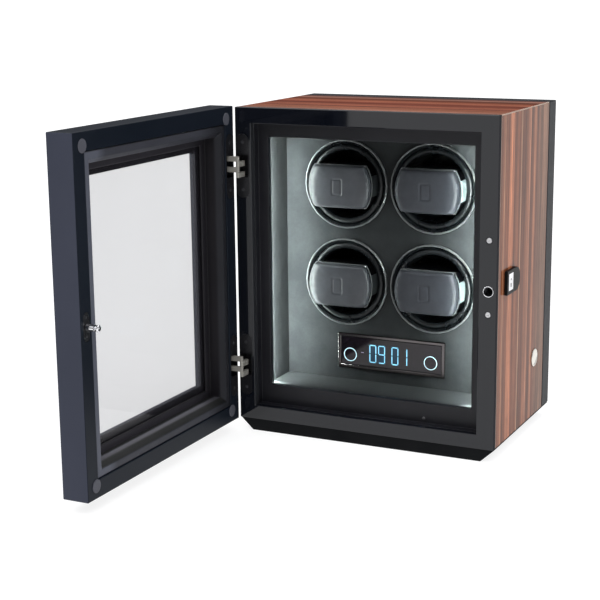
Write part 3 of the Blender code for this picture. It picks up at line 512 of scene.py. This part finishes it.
def circuit_green():
    """Green solder mask, with the copper tracks showing a little lighter under it."""
    look = Look("circuit_green", (0.02, 0.12, 0.05), 0.4)
    tracks = look.cells(420, "DISTANCE_TO_EDGE", 0.3)
    look.color_from(look.ramp(tracks, (0.04, (0.05, 0.20, 0.08)), (0.10, (0.01, 0.08, 0.035))))
    look.bump((tracks, 0.00003, 0.3))
    return look.material


def fibreboard():
    """The brown board that the motors are mounted on."""
    look = Look("fibreboard", (0.30, 0.21, 0.13), 0.85)
    fibres = look.noise(900, 4, 0.65, (1, 0.4, 1))
    look.color_from(look.ramp(fibres, (0.35, (0.21, 0.14, 0.085)), (0.65, (0.36, 0.26, 0.165))))
    look.bump((fibres, 0.0001, 0.3))
    return look.material


# ---------------------------------------------------------------- lit materials


def uneven_glow(look, color, scale):
    """A colour with the slight unevenness of the diodes behind it."""
    spots = look.noise(scale, 1)
    return look.ramp(spots, (0.35, tuple(c * 0.8 for c in color)), (0.6, color)), spots


def strip_light(name, strength):
    """A light strip: bright towards the back, weaker sideways, dark towards the front."""
    color = (0.90, 1.0, 0.99)
    look = Look(name, color, 0.4)
    glow, _ = uneven_glow(look, color, 220)
    look.glow_from(glow, look.facing((0, 1, 0), -STRIP_SIDE, 1.0, 0.0, strength))
    return look.material


def lit_sign(name, color, strength):
    """A lit segment or ring."""
    look = Look(name, color, 0.4, Emission_Strength=strength)
    glow, spots = uneven_glow(look, color, 420)
    look.glow_from(glow)
    look.rough_from(look.spread(spots, 0.35, 0.5))
    return look.material


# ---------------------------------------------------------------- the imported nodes' materials

MATERIALS = {
    "gloss_black": frame_lacquer(),
    "satin_black": satin_black("satin_black", (0.007, 0.007, 0.010), (0.013, 0.013, 0.017), 0.32),
    "ebony_veneer": ebony_veneer("ebony_veneer", SIDE_STRIPES),
    "grey_suede": grey_suede(),
    "black_abs": cup_plastic(),
    "black_leather": leather("black_leather", (0.026, 0.029, 0.034), (0.038, 0.042, 0.048), 0.6),
    "chrome_trim": bright_metal("chrome_trim", (0.78, 0.78, 0.80), 0.06, 0.14, depth=0.05),
    "nickel_links": bright_metal("nickel_links", (0.33, 0.315, 0.285), 0.40, 0.55, (1, 1, 0.1), metal=0.3),
    "black_zinc": black_zinc(),
    "steel": bright_metal("steel", (0.62, 0.62, 0.63), 0.20, 0.38, (1, 0.2, 1)),
    "clear_glass": clear_glass(),
    "display_glass": display_glass(),
    "circuit_green": circuit_green(),
    "badge_metal": bright_metal("badge_metal", (0.84, 0.81, 0.74), 0.26, 0.40, (1, 0.1, 1), 0.25),
    "rubber_dot": soft_rubber(),
    "led_diffuser": strip_light("led_diffuser", 215.0),
    "mount_board": fibreboard(),
}

# Some nodes of one slot have a shade of their own
NODE_MATERIALS = {
    "door_frame": door_paint(),
    "door_trim": trim_paint(),
    "base_plinth": satin_black("base_satin", (0.0045, 0.005, 0.006), (0.0085, 0.009, 0.010), 0.06),
    "rear_cover": satin_black("rear_satin", (0.010, 0.011, 0.014), (0.016, 0.017, 0.021), 0.10),
    "reader_housing": satin_black("reader_satin", (0.004, 0.004, 0.004), (0.008, 0.008, 0.008), 0.08),
    "top_panel": ebony_veneer("ebony_veneer_top", TOP_STRIPES),
    "display_bezel": bright_metal("bezel_chrome", (0.14, 0.13, 0.13), 0.13, 0.20, depth=0.05),
    "light_strip_right": strip_light("led_diffuser_right", 290.0),
}
ring_chrome = bright_metal("ring_chrome", (0.20, 0.21, 0.21), 0.30, 0.40, depth=0.05, metal=0.5)
for rotor in ROTORS:
    NODE_MATERIALS[f"rotor_ring_{rotor}"] = ring_chrome


def dress_nodes():
    """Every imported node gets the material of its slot, or its own."""
    for part in frame["record"]["subparts"]:
        node = part["node"]
        mesh = NODES[node].data
        mesh.materials.clear()
        mesh.materials.append(NODE_MATERIALS.get(node, MATERIALS[part["material_slot"]]))


dress_nodes()


# ---------------------------------------------------------------- mesh helpers


def add_piece(name, data, body, material):
    """A finished mesh or curve as a piece that rides on a body."""
    piece = bpy.data.objects.new(name, data)
    bpy.context.scene.collection.objects.link(piece)
    data.materials.clear()
    data.materials.append(material)
    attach(piece, body)
    return piece


def to_mesh(work, name, smooth_angle=40):
    """A bmesh made into a mesh with its faces turned outwards."""
    bmesh.ops.recalc_face_normals(work, faces=work.faces)
    mesh = bpy.data.meshes.new(name)
    work.to_mesh(mesh)
    work.free()
    mesh.shade_smooth()
    mesh.set_sharp_from_angle(angle=math.radians(smooth_angle))
    return mesh


def evaluated(mesh, name, kind, **settings):
    """The mesh after one modifier."""
    scratch = bpy.data.objects.new(name, mesh)
    bpy.context.scene.collection.objects.link(scratch)
    modifier = scratch.modifiers.new(kind.lower(), kind)
    for key, value in settings.items():
        setattr(modifier, key, value)
    bpy.context.view_layer.update()
    made = bpy.data.meshes.new_from_object(scratch.evaluated_get(bpy.context.evaluated_depsgraph_get()))
    made.name = name
    bpy.data.objects.remove(scratch)
    return made


def turned(profile, steps):
    """A profile of (radius, height) turned about Z. A radius of 0 is a single point."""
    work = bmesh.new()
    turn = 2 * math.pi / steps
    rings = []
    for radius, height in profile:
        angles = [i * turn for i in range(steps if radius else 1)]
        rings.append([work.verts.new((radius * math.cos(a), radius * math.sin(a), height)) for a in angles])
    for first, second in zip(rings, rings[1:]):
        for i in range(steps):
            corners = (first[i % len(first)], first[(i + 1) % len(first)])
            corners += (second[(i + 1) % len(second)], second[i % len(second)])
            work.faces.new(tuple(dict.fromkeys(corners)))
    return work


def prism(work, outline, low, high):
    """A closed outline in X and Z, as thick in Y as from low to high."""
    back = [work.verts.new((x, high, z)) for x, z in outline]
    front = [work.verts.new((x, low, z)) for x, z in outline]
    work.faces.new(front)
    work.faces.new(back[::-1])
    for i in range(len(outline)):
        j = (i + 1) % len(outline)
        work.faces.new((front[i], front[j], back[j], back[i]))


def absorb(work, piece):
    """One bmesh added to another, and freed."""
    part = bpy.data.meshes.new("part")
    piece.to_mesh(part)
    piece.free()
    work.from_mesh(part)


def arc(centre, radius, start, end, steps):
    """Points on an arc, with its angles in degrees."""
    angles = [math.radians(start + (end - start) * i / steps) for i in range(steps + 1)]
    return [(centre[0] + radius * math.cos(a), centre[1] + radius * math.sin(a)) for a in angles]


def rounded_rectangle(half_width, half_height, radius, steps=5):
    """An outline with round corners."""
    x, z = half_width - radius, half_height - radius
    outline = arc((x, z), radius, 0, 90, steps) + arc((-x, z), radius, 90, 180, steps)
    return outline + arc((-x, -z), radius, 180, 270, steps) + arc((x, -z), radius, 270, 360, steps)


# ---------------------------------------------------------------- cushions

# The pad's half sizes, and how far its back and its crown stand forward of the rotor panel
PAD_HALF_HEIGHT = 0.0202
PAD_HALF_WIDTH = 0.0322
PAD_CORNER_WIDTH = 0.0262
PAD_BACK = 0.0152
PAD_CROWN = 0.0240
PAD_ROLL = 0.0135
PAD_DROP = 0.0066
PAD_HEM = 0.0018
PAD_HEM_FULLNESS = 0.6
PAD_CELL = 0.0016
SEWN_DEPTH = 0.0012
FILLING_FRAMES = 20
MOST_FILLING = 0.0016

MARK_HALF_WIDTH = 0.0046
MARK_HALF_HEIGHT = 0.0072
MARK_CORNER = 0.0012
MARK_LINE = 0.0007
MARK_DEPTH = 0.0007
MARK_FIELD = 0.35
MARK_SOFTNESS = 0.0004
FRONT_ONLY = 0.0010
PUCKER_START = 0.55
PUCKER_DEPTH = 0.00012
PUCKER_PITCH = 900

BLOCK_INSET = 0.0016
BLOCK_END = 0.0290
BLOCK_ROUNDING = {"width": 0.0012, "segments": 3, "limit_method": "ANGLE", "angle_limit": math.radians(50)}
PIPING_FORWARD = 0.0136
PIPING_RADIUS = 0.00055
PLATE_HALF_HEIGHT = 0.0098
PLATE_FRONT = 0.0122
PLATE_BACK = -0.0040
PLATE_CORNER = 0.0016
PLATE_LIFT = 0.0001
PLATE_THICK = 0.0006
STUD_PROFILE = ((0.0010, 0), (0.0010, 0.0003), (0.0007, 0.0007), (0, 0.0008))

# The pads are one leather in two copies: the left-hand pads get a painted highlight on their left ends, and
# the right-hand ones are darker and less shiny as painted shade
PAD_LEFT_PAINTED_HIGHLIGHT = leather("pad_leather_left_painted_highlight", (0.025, 0.028, 0.034), (0.037, 0.041, 0.049), 0.6, (0.17, 0.18, 0.18))
PAD_RIGHT_PAINTED_SHADE = leather("pad_leather_right_painted_shade", (0.021, 0.023, 0.029), (0.030, 0.033, 0.040), 0.36)
# Black leather behind the pad, darkened further to near-black as painted shade
BLOCK_LEATHER_PAINTED_SHADE = satin_black("block_leather_painted_shade", (0.001, 0.001, 0.0015), (0.002, 0.002, 0.0025), 0.04)
PIPING_LEATHER = leather("piping_leather", (0.10, 0.11, 0.115), (0.14, 0.15, 0.155))
# The end plates are one pale plastic; the dark copy is painted shade, for the plates away from the light
# strips
PALE_PLASTIC = plate_plastic("pale_plastic", (0.27, 0.34, 0.33), (0.32, 0.40, 0.39))
SHADED_PLATE_PLASTIC = plate_plastic("plate_plastic_painted_shade", (0.030, 0.036, 0.038), (0.042, 0.048, 0.050))


def cushion_end(z, inset=0.0):
    """How far from its middle the cushion's curved end is, at a height."""
    rise = PAD_HALF_WIDTH - PAD_CORNER_WIDTH
    radius = (rise**2 + PAD_HALF_HEIGHT**2) / (2 * rise)
    return PAD_HALF_WIDTH - radius + math.sqrt(radius**2 - z**2) - inset


def cushion_outline(inset, steps=14):
    """The cushion's outline from the front: straight above and below, with curved ends."""
    top = PAD_HALF_HEIGHT - inset
    heights = [top * (2 * i / steps - 1) for i in range(steps + 1)]
    right = [(cushion_end(z, inset), z) for z in heights]
    return right + [(-x, z) for x, z in reversed(right)]


def pad_depth(x, z):
    """How far forward the unfilled pad is: rolled over at its ends, and only just rounded above and below."""
    from_end = min(1.0, (cushion_end(z) - abs(x)) / PAD_ROLL)
    from_edge = min(1.0, (PAD_HALF_HEIGHT - abs(z)) / PAD_HEM)
    hem = PAD_HEM_FULLNESS + (1 - PAD_HEM_FULLNESS) * math.sqrt(1 - (1 - from_edge) ** 2)
    return PAD_CROWN - PAD_DROP * (1 - math.sqrt(1 - (1 - from_end) ** 2) * hem)


def pad_mesh(columns=44, rows=26):
    """The pad before it is filled: a curved front, a flat back and a rim between them."""
    work = bmesh.new()
    front = []
    for j in range(rows + 1):
        z = PAD_HALF_HEIGHT * (2 * j / rows - 1)
        places = [cushion_end(z) * (2 * i / columns - 1) for i in range(columns + 1)]
        front.append([work.verts.new((x, -pad_depth(x, z), z)) for x in places])
    back = [[work.verts.new((v.co.x, -PAD_BACK, v.co.z)) for v in line] for line in front]
    for near, flip in ((front, False), (back, True)):
        for low, high in zip(near, near[1:]):
            for a, b, c, d in zip(low, low[1:], high[1:], high):
                work.faces.new((d, c, b, a) if flip else (a, b, c, d))
    rim = [(j, 0) for j in range(rows)] + [(rows, i) for i in range(columns)]
    rim += [(j, columns) for j in range(rows, 0, -1)] + [(0, i) for i in range(columns, 0, -1)]
    for (j, i), (n, m) in zip(rim, rim[1:] + rim[:1]):
        work.faces.new((front[j][i], front[n][m], back[n][m], back[j][i]))
    return to_mesh(work, "pad_start")


def fill_pad(mesh):
    """The pad's cover is blown up like a stuffed case, held where it is sewn to the cushion behind it."""
    pad = bpy.data.objects.new("pad_filling", mesh)
    bpy.context.scene.collection.objects.link(pad)
    held = pad.vertex_groups.new(name="sewn")
    held.add([v.index for v in mesh.vertices if -v.co.y < PAD_BACK + SEWN_DEPTH], 1.0, "REPLACE")
    start = [vertex.co.copy() for vertex in mesh.vertices]
    cloth = pad.modifiers.new("filling", "CLOTH").settings
    cloth.use_pressure = True
    cloth.uniform_pressure_force = 4.0
    cloth.effector_weights.gravity = 0.0
    cloth.vertex_group_mass = "sewn"
    cloth.tension_stiffness = 20
    cloth.compression_stiffness = 20
    cloth.bending_stiffness = 1.0
    scene = bpy.context.scene
    for number in range(1, FILLING_FRAMES + 1):
        scene.frame_set(number)
    made = bpy.data.meshes.new_from_object(pad.evaluated_get(bpy.context.evaluated_depsgraph_get()))
    bpy.data.objects.remove(pad)
    for vertex, place in zip(made.vertices, start):
        moved = vertex.co - place
        if moved.length > MOST_FILLING:
            vertex.co = place + moved * (MOST_FILLING / moved.length)
    scene.frame_set(1)
    return made


def emboss(mesh):
    """A plain upright rounded panel pressed into the pad's front, and faint puckers along its ends."""
    for vertex in mesh.vertices:
        x, y, z = vertex.co
        if y > -PAD_BACK - FRONT_ONLY:
            continue
        past_x = max(0.0, abs(x) - (MARK_HALF_WIDTH - MARK_CORNER))
        past_z = max(0.0, abs(z) - (MARK_HALF_HEIGHT - MARK_CORNER))
        distance = math.hypot(past_x, past_z) - MARK_CORNER
        field = MARK_FIELD / (1 + math.exp(distance / MARK_SOFTNESS))
        vertex.co.y += MARK_DEPTH * (math.exp(-((distance / MARK_LINE) ** 2)) + field)
        end = max(0.0, abs(x) / cushion_end(z) - PUCKER_START) / (1 - PUCKER_START)
        vertex.co.y += PUCKER_DEPTH * end * math.sin(z * PUCKER_PITCH)


def filled_pad():
    """The finished pad, about the middle of its rotor's opening."""
    pad = evaluated(pad_mesh(), "pad_cells", "REMESH", mode="VOXEL", voxel_size=PAD_CELL)
    pad = fill_pad(pad)
    pad = evaluated(pad, "pad", "SUBSURF", levels=1, render_levels=1)
    emboss(pad)
    pad.shade_smooth()
    return pad


def block_mesh():
    """The dark block behind the pad, which the watch strap goes round."""
    work = bmesh.new()
    prism(work, cushion_outline(BLOCK_INSET), -PAD_BACK + 0.0002, BLOCK_END)
    return evaluated(to_mesh(work, "block_start"), "block", "BEVEL", **BLOCK_ROUNDING)


def piping_curve(name, place):
    """A thin cord sewn round the cushion, behind the pad."""
    piping = bpy.data.curves.new(name, "CURVE")
    piping.dimensions = "3D"
    piping.bevel_depth = PIPING_RADIUS
    piping.bevel_resolution = 2
    spline = piping.splines.new("POLY")
    outline = cushion_outline(0.0002)
    spline.points.add(len(outline) - 1)
    for point, (x, z) in zip(spline.points, outline):
        point.co = (*(place @ Vector((x, -PIPING_FORWARD, z))), 1)
    spline.use_cyclic_u = True
    return piping


def end_plate_mesh(side):
    """A thin plate with round corners, bent to the curve of the cushion's end."""
    middle, half_depth = (PLATE_FRONT + PLATE_BACK) / 2, (PLATE_FRONT - PLATE_BACK) / 2
    work = bmesh.new()
    prism(work, rounded_rectangle(half_depth, PLATE_HALF_HEIGHT, PLATE_CORNER), 0, PLATE_THICK)
    bmesh.ops.triangulate(work, faces=[face for face in work.faces if len(face.verts) > 4])
    bmesh.ops.subdivide_edges(work, edges=work.edges, cuts=2, use_grid_fill=True)
    for vertex in work.verts:
        along, out, z = vertex.co
        vertex.co = (side * (cushion_end(z, BLOCK_INSET) + PLATE_LIFT + out), -(middle + along), z)
    return to_mesh(work, "end_plate")


def studs_mesh(place):
    """Four small bright studs at the pad's corners."""
    x, forward, z = PAD_CORNER_WIDTH - 0.0006, PAD_BACK + 0.0008, PAD_HALF_HEIGHT - 0.0008
    studs = bmesh.new()
    for side in (-1, 1):
        for up in (-1, 1):
            stud = turned(STUD_PROFILE, 12)
            stud.transform(place @ Matrix.Translation((side * x, -forward, up * z)) @ FACING_FRONT)
            absorb(studs, stud)
    return to_mesh(studs, "studs")


def make_cushion(number, place, pad, block):
    """One rotor's cushion: its pad, and behind it the block with its piping, end plates and studs."""
    body = f"pillow_{number}"
    name = f"cushion_{number}"
    # Painted light: the right-hand pads take the painted-shade copy, and the left-hand ones the copy with a
    # painted highlight
    cover = PAD_RIGHT_PAINTED_SHADE if number in RIGHT_COLUMN else PAD_LEFT_PAINTED_HIGHLIGHT
    front = add_piece(f"{name}_pad", pad.copy(), body, cover)
    front.data.transform(place)
    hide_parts(f"watch_pillow_{number}")
    core = add_piece(f"{name}_block", block.copy(), body, BLOCK_LEATHER_PAINTED_SHADE)
    core.data.transform(place)
    add_piece(f"{name}_piping", piping_curve(f"{name}_piping", place), body, PIPING_LEATHER)
    for end, side in (("left", -1), ("right", 1)):
        plate = end_plate_mesh(side)
        plate.transform(place)
        # Only the right-hand end of each right-hand cushion, by the right light strip, keeps the pale plastic;
        # the others get the painted-shade copy
        pale = number in RIGHT_COLUMN and side > 0
        add_piece(f"{name}_plate_{end}", plate, body, PALE_PLASTIC if pale else SHADED_PLATE_PLASTIC)
    add_piece(f"{name}_studs", studs_mesh(place), body, MATERIALS["steel"])


def make_cushions():
    """A cushion in the middle of each rotor's ring, measured from the rotor panel."""
    pad, block = filled_pad(), block_mesh()
    for number in ROTORS:
        low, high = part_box(f"rotor_ring_{number}")
        centre = Vector(((low.x + high.x) / 2, PANEL_FACE, (low.z + high.z) / 2))
        make_cushion(number, Matrix.Translation(centre), pad, block)


make_cushions()


# ---------------------------------------------------------------- display

LIT_WHITE = lit_sign("lit_white", (0.50, 0.70, 0.77), 0.40)
LIT_CYAN = lit_sign("lit_cyan", (0.28, 0.66, 0.88), 0.62)
LIT_DIM = lit_sign("lit_dim", (0.25, 0.22, 0.32), 0.25)
LIT_BLUE = lit_sign("lit_blue", (0.004, 0.020, 0.038), 0.8)

# Which of the seven segments each digit lights, in this order: top, upper left, upper right, middle,
# lower left, lower right, bottom
SEGMENTS = {"0": "1110111", "1": "0010010", "9": "1111011"}

# Each digit and each ring, with its place across from the middle of the display
DIGITS = (("0", -0.0188), ("9", -0.0096), ("0", 0.0043), ("1", 0.0135))
DIGIT_WIDTH = 0.0062
DIGIT_HEIGHT = 0.0168
DIGIT_DROP = 0.0009
SEGMENT_WIDTH = 0.0010
SEGMENT_GAP = 0.0002
LIT_THICK = 0.0001
GLOW_MARGIN = 0.0012
GLOW_CORNER = 0.0014
GLOW_NEAR = 0.00012
GLOW_FAR = 0.00014
LIT_AHEAD = 0.00015
RINGS = (("left", -0.0426), ("right", 0.0409))
RING_DROP = 0.0038
RING_PROFILE = ((0.0068, 0), (0.0068, LIT_THICK), (0.0060, LIT_THICK), (0.0060, 0), (0.0068, 0))
DASH_LEFT = -0.0314
DASH_RIGHT = -0.0282
DASH_DROP = 0.0006
DASH_WIDTH = 0.0008


def segment(work, start, end, thick, front):
    """A bar with pointed ends, from one point to another, in X and Z."""
    start, end = Vector(start), Vector(end)
    direction = (end - start).normalized()
    across = Vector((-direction.y, direction.x)) * thick / 2
    tip = direction * thick / 2
    outline = [start, start + tip + across, end - tip + across, end, end - tip - across, start + tip - across]
    prism(work, [tuple(point) for point in outline], front, front + LIT_THICK)


def make_digit(name, text, centre, front):
    """One digit, as its lit segments."""
    x, z = centre
    left, right = x - DIGIT_WIDTH / 2, x + DIGIT_WIDTH / 2
    bottom, top = z - DIGIT_HEIGHT / 2, z + DIGIT_HEIGHT / 2
    ends = (
        ((left, top), (right, top)),
        ((left, z), (left, top)),
        ((right, z), (right, top)),
        ((left, z), (right, z)),
        ((left, bottom), (left, z)),
        ((right, bottom), (right, z)),
        ((left, bottom), (right, bottom)),
    )
    work = bmesh.new()
    for lit, corners in zip(SEGMENTS[text], ends):
        if lit == "1":
            start, end = (Vector(corner) for corner in corners)
            inset = (end - start).normalized() * SEGMENT_GAP
            segment(work, start + inset, end - inset, SEGMENT_WIDTH, front)
    add_piece(name, to_mesh(work, name), "cabinet", LIT_CYAN)


def add_glow(work, centre, front):
    """The dim panel that glows behind one digit."""
    x, z = centre
    outline = rounded_rectangle(DIGIT_WIDTH / 2 + GLOW_MARGIN, DIGIT_HEIGHT / 2 + GLOW_MARGIN, GLOW_CORNER)
    prism(work, [(x + a, z + b) for a, b in outline], front + GLOW_NEAR, front + GLOW_FAR)


def make_display():
    """The lit clock digits, the dash and the two touch rings, just in front of the glass."""
    low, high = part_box("display_window")
    middle_x, middle_z = (low.x + high.x) / 2, (low.z + high.z) / 2
    front = low.y - LIT_AHEAD
    glow = bmesh.new()
    for place, (text, x) in enumerate(DIGITS):
        centre = (middle_x + x, middle_z - DIGIT_DROP)
        make_digit(f"display_digit_{place + 1}", text, centre, front)
        if text != "1":
            add_glow(glow, centre, front)
    for name, x in RINGS:
        ring = turned(RING_PROFILE, 40)
        bmesh.ops.remove_doubles(ring, verts=ring.verts, dist=0.000001)
        ring.transform(Matrix.Translation((middle_x + x, front, middle_z - RING_DROP)) @ FACING_FRONT)
        add_piece(f"touch_ring_{name}", to_mesh(ring, "ring"), "cabinet", LIT_WHITE)
    add_piece("display_glow", to_mesh(glow, "display_glow"), "cabinet", LIT_BLUE)
    dash = bmesh.new()
    z = middle_z - DASH_DROP
    segment(dash, (middle_x + DASH_LEFT, z), (middle_x + DASH_RIGHT, z), DASH_WIDTH, front)
    add_piece("display_dash", to_mesh(dash, "dash"), "cabinet", LIT_DIM)


make_display()


# ---------------------------------------------------------------- small hardware

SCREW_BLACK = bright_metal("screw_black", (0.045, 0.045, 0.052), 0.30, 0.45, metal=0.4)
SENSOR = leather("sensor_lens", (0.05, 0.05, 0.055), (0.07, 0.07, 0.075), 0.8)

SCREW_PROFILE = ((0, -0.0006), (0.0016, -0.0006), (0.0016, 0), (0.0014, 0.00015), (0, 0.00035))
SLOT_HALF_LENGTH = 0.0011
SLOT_HALF_WIDTH = 0.00022
SLOT_DEEP = -0.0006
SLOT_SHALLOW = 0.0003
SCREW_PROUD = 0.0001
HINGE_SCREW_SPACING = 0.0222
STRIKE_SCREW_SPACING = 0.0078
STRIKE_SCREW_SCALE = 0.75

SENSOR_PROFILE = ((0, -0.0010), (0.0016, -0.0010), (0.0016, 0.0001), (0.0012, 0.0005), (0, 0.0007))
SENSOR_PLACE = (0.056, LEDGE_FRONT, 0.0295)


def screw_mesh():
    """A countersunk head with a crossed recess."""
    head = to_mesh(turned(SCREW_PROFILE, 20), "head")
    cross = bmesh.new()
    for half_length, half_width in ((SLOT_HALF_LENGTH, SLOT_HALF_WIDTH), (SLOT_HALF_WIDTH, SLOT_HALF_LENGTH)):
        bar = bmesh.new()
        prism(bar, rounded_rectangle(half_length, half_width, 0.0001, 1), SLOT_DEEP, SLOT_SHALLOW)
        bar.transform(FACING_FRONT)
        absorb(cross, bar)
    cutter = bpy.data.objects.new("cross", to_mesh(cross, "cross"))
    bpy.context.scene.collection.objects.link(cutter)
    cut = {"operation": "DIFFERENCE", "object": cutter, "solver": "EXACT", "use_self": True}
    made = evaluated(head, "screw", "BOOLEAN", **cut)
    bpy.data.objects.remove(cutter)
    return made


def make_screws():
    """Two screws in each hinge plate, and two in the strike plate."""
    screw = screw_mesh()
    sides = (("top", 1), ("bottom", -1))
    for row in ("upper", "lower"):
        cabinet_low, cabinet_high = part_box(f"hinge_cup_cabinet_{row}")
        door_low, door_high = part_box(f"hinge_cup_door_{row}")
        cabinet_x = (cabinet_low.x + cabinet_high.x) / 2
        door_y = (door_low.y + door_high.y) / 2
        middle = (cabinet_low.z + cabinet_high.z) / 2
        for name, side in sides:
            z = middle + side * HINGE_SCREW_SPACING
            spots = {
                "cabinet": Matrix.Translation((cabinet_x, cabinet_low.y - SCREW_PROUD, z)) @ FACING_FRONT,
                "door": Matrix.Translation((door_high.x + SCREW_PROUD, door_y, z)) @ FACING_RIGHT,
            }
            for body, spot in spots.items():
                mesh = screw.copy()
                mesh.transform(spot)
                add_piece(f"hinge_screw_{body}_{row}_{name}", mesh, body, SCREW_BLACK)
    low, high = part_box("strike_plate")
    for name, side in sides:
        z = (low.z + high.z) / 2 + side * STRIKE_SCREW_SPACING
        spot = Matrix.Translation((high.x + SCREW_PROUD, (low.y + high.y) / 2, z))
        mesh = screw.copy()
        mesh.transform(spot @ FACING_RIGHT @ Matrix.Scale(STRIKE_SCREW_SCALE, 4))
        add_piece(f"strike_screw_{name}", mesh, "door", SCREW_BLACK)


def make_sensor():
    """A small round light sensor in the front of the lower ledge."""
    dome = turned(SENSOR_PROFILE, 20)
    dome.transform(Matrix.Translation(SENSOR_PLACE) @ FACING_FRONT)
    add_piece("ledge_sensor", to_mesh(dome, "sensor"), "cabinet", SENSOR)


def make_reader_marks():
    """The dark dot and slot in the reader's bright plate."""
    low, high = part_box("reader_plate")
    thick, dot_up, dot_radius, slot_down = 0.0002, 0.0022, 0.0009, 0.0030
    work = bmesh.new()
    prism(work, arc((0, dot_up), dot_radius, 0, 340, 17), 0, thick)
    prism(work, [(x, z - slot_down) for x, z in rounded_rectangle(0.0010, 0.0018, 0.0007)], 0, thick)
    middle = Matrix.Translation((high.x + 0.00012, (low.y + high.y) / 2, (low.z + high.z) / 2))
    work.transform(middle @ Matrix.Rotation(math.pi / 2, 4, "Z"))
    add_piece("reader_marks", to_mesh(work, "reader_marks"), "cabinet", MATERIALS["black_abs"])


make_screws()
make_sensor()
make_reader_marks()


# ---------------------------------------------------------------- floor, light, camera

FLOOR_SIZE = 60
# How bright the dome is at heights from straight down, 0, to straight up, 1
DOME = ((0.0, 0.07), (0.40, 0.09), (0.62, 1.75), (1.0, 2.0))


def make_floor():
    """A pale studio floor that gives a little light of its own, so that the shadows on it stay faint."""
    work = bmesh.new()
    bmesh.ops.create_grid(work, x_segments=1, y_segments=1, size=FLOOR_SIZE)
    mesh = bpy.data.meshes.new("floor")
    work.to_mesh(mesh)
    work.free()
    floor = bpy.data.objects.new("floor", mesh)
    bpy.context.scene.collection.objects.link(floor)
    look = Look("floor_white", (0.30, 0.30, 0.30), 0.9, Specular_IOR_Level=0.0, Emission_Strength=0.82)
    look.set("Emission Color", (1, 1, 1, 1))
    mesh.materials.append(look.material)


def make_world():
    """A soft dome: bright overhead and dim near the horizon, which is what the lacquered top reflects."""
    world = bpy.data.worlds.new("studio")
    bpy.context.scene.world = world
    world.use_nodes = True
    tree = world.node_tree
    background = tree.nodes["Background"]
    background.inputs["Strength"].default_value = 1.0
    source = tree.nodes.new("ShaderNodeTexCoord")
    split = tree.nodes.new("ShaderNodeSeparateXYZ")
    ramp = tree.nodes.new("ShaderNodeValToRGB")
    elements = ramp.color_ramp.elements
    while len(elements) < len(DOME):
        elements.new(0.5)
    for element, (height, light) in zip(elements, DOME):
        element.position = height
        element.color = (light * 0.99, light, light * 1.02, 1)
    tree.links.new(source.outputs["Generated"], split.inputs["Vector"])
    tree.links.new(split.outputs["Z"], ramp.inputs["Fac"])
    tree.links.new(ramp.outputs["Color"], background.inputs["Color"])


def make_camera():
    """The camera stands in front, to the right and a little above, and looks slightly down."""
    yaw, pitch, roll = math.radians(26.07), math.radians(12.58), math.radians(-0.59)
    data = bpy.data.cameras.new("camera")
    data.lens = 86.1
    data.sensor_width = 36
    data.shift_x = -0.0013
    camera = bpy.data.objects.new("camera", data)
    bpy.context.scene.collection.objects.link(camera)
    camera.location = (0.5136, -1.2620, 0.4264)
    aim = Matrix.Rotation(yaw, 3, "Z") @ Matrix.Rotation(math.pi / 2 - pitch, 3, "X")
    camera.rotation_euler = (aim @ Matrix.Rotation(roll, 3, "Z")).to_euler()
    bpy.context.scene.camera = camera


make_floor()
make_world()
make_camera()
bpy.context.scene.view_settings.view_transform = "Standard"
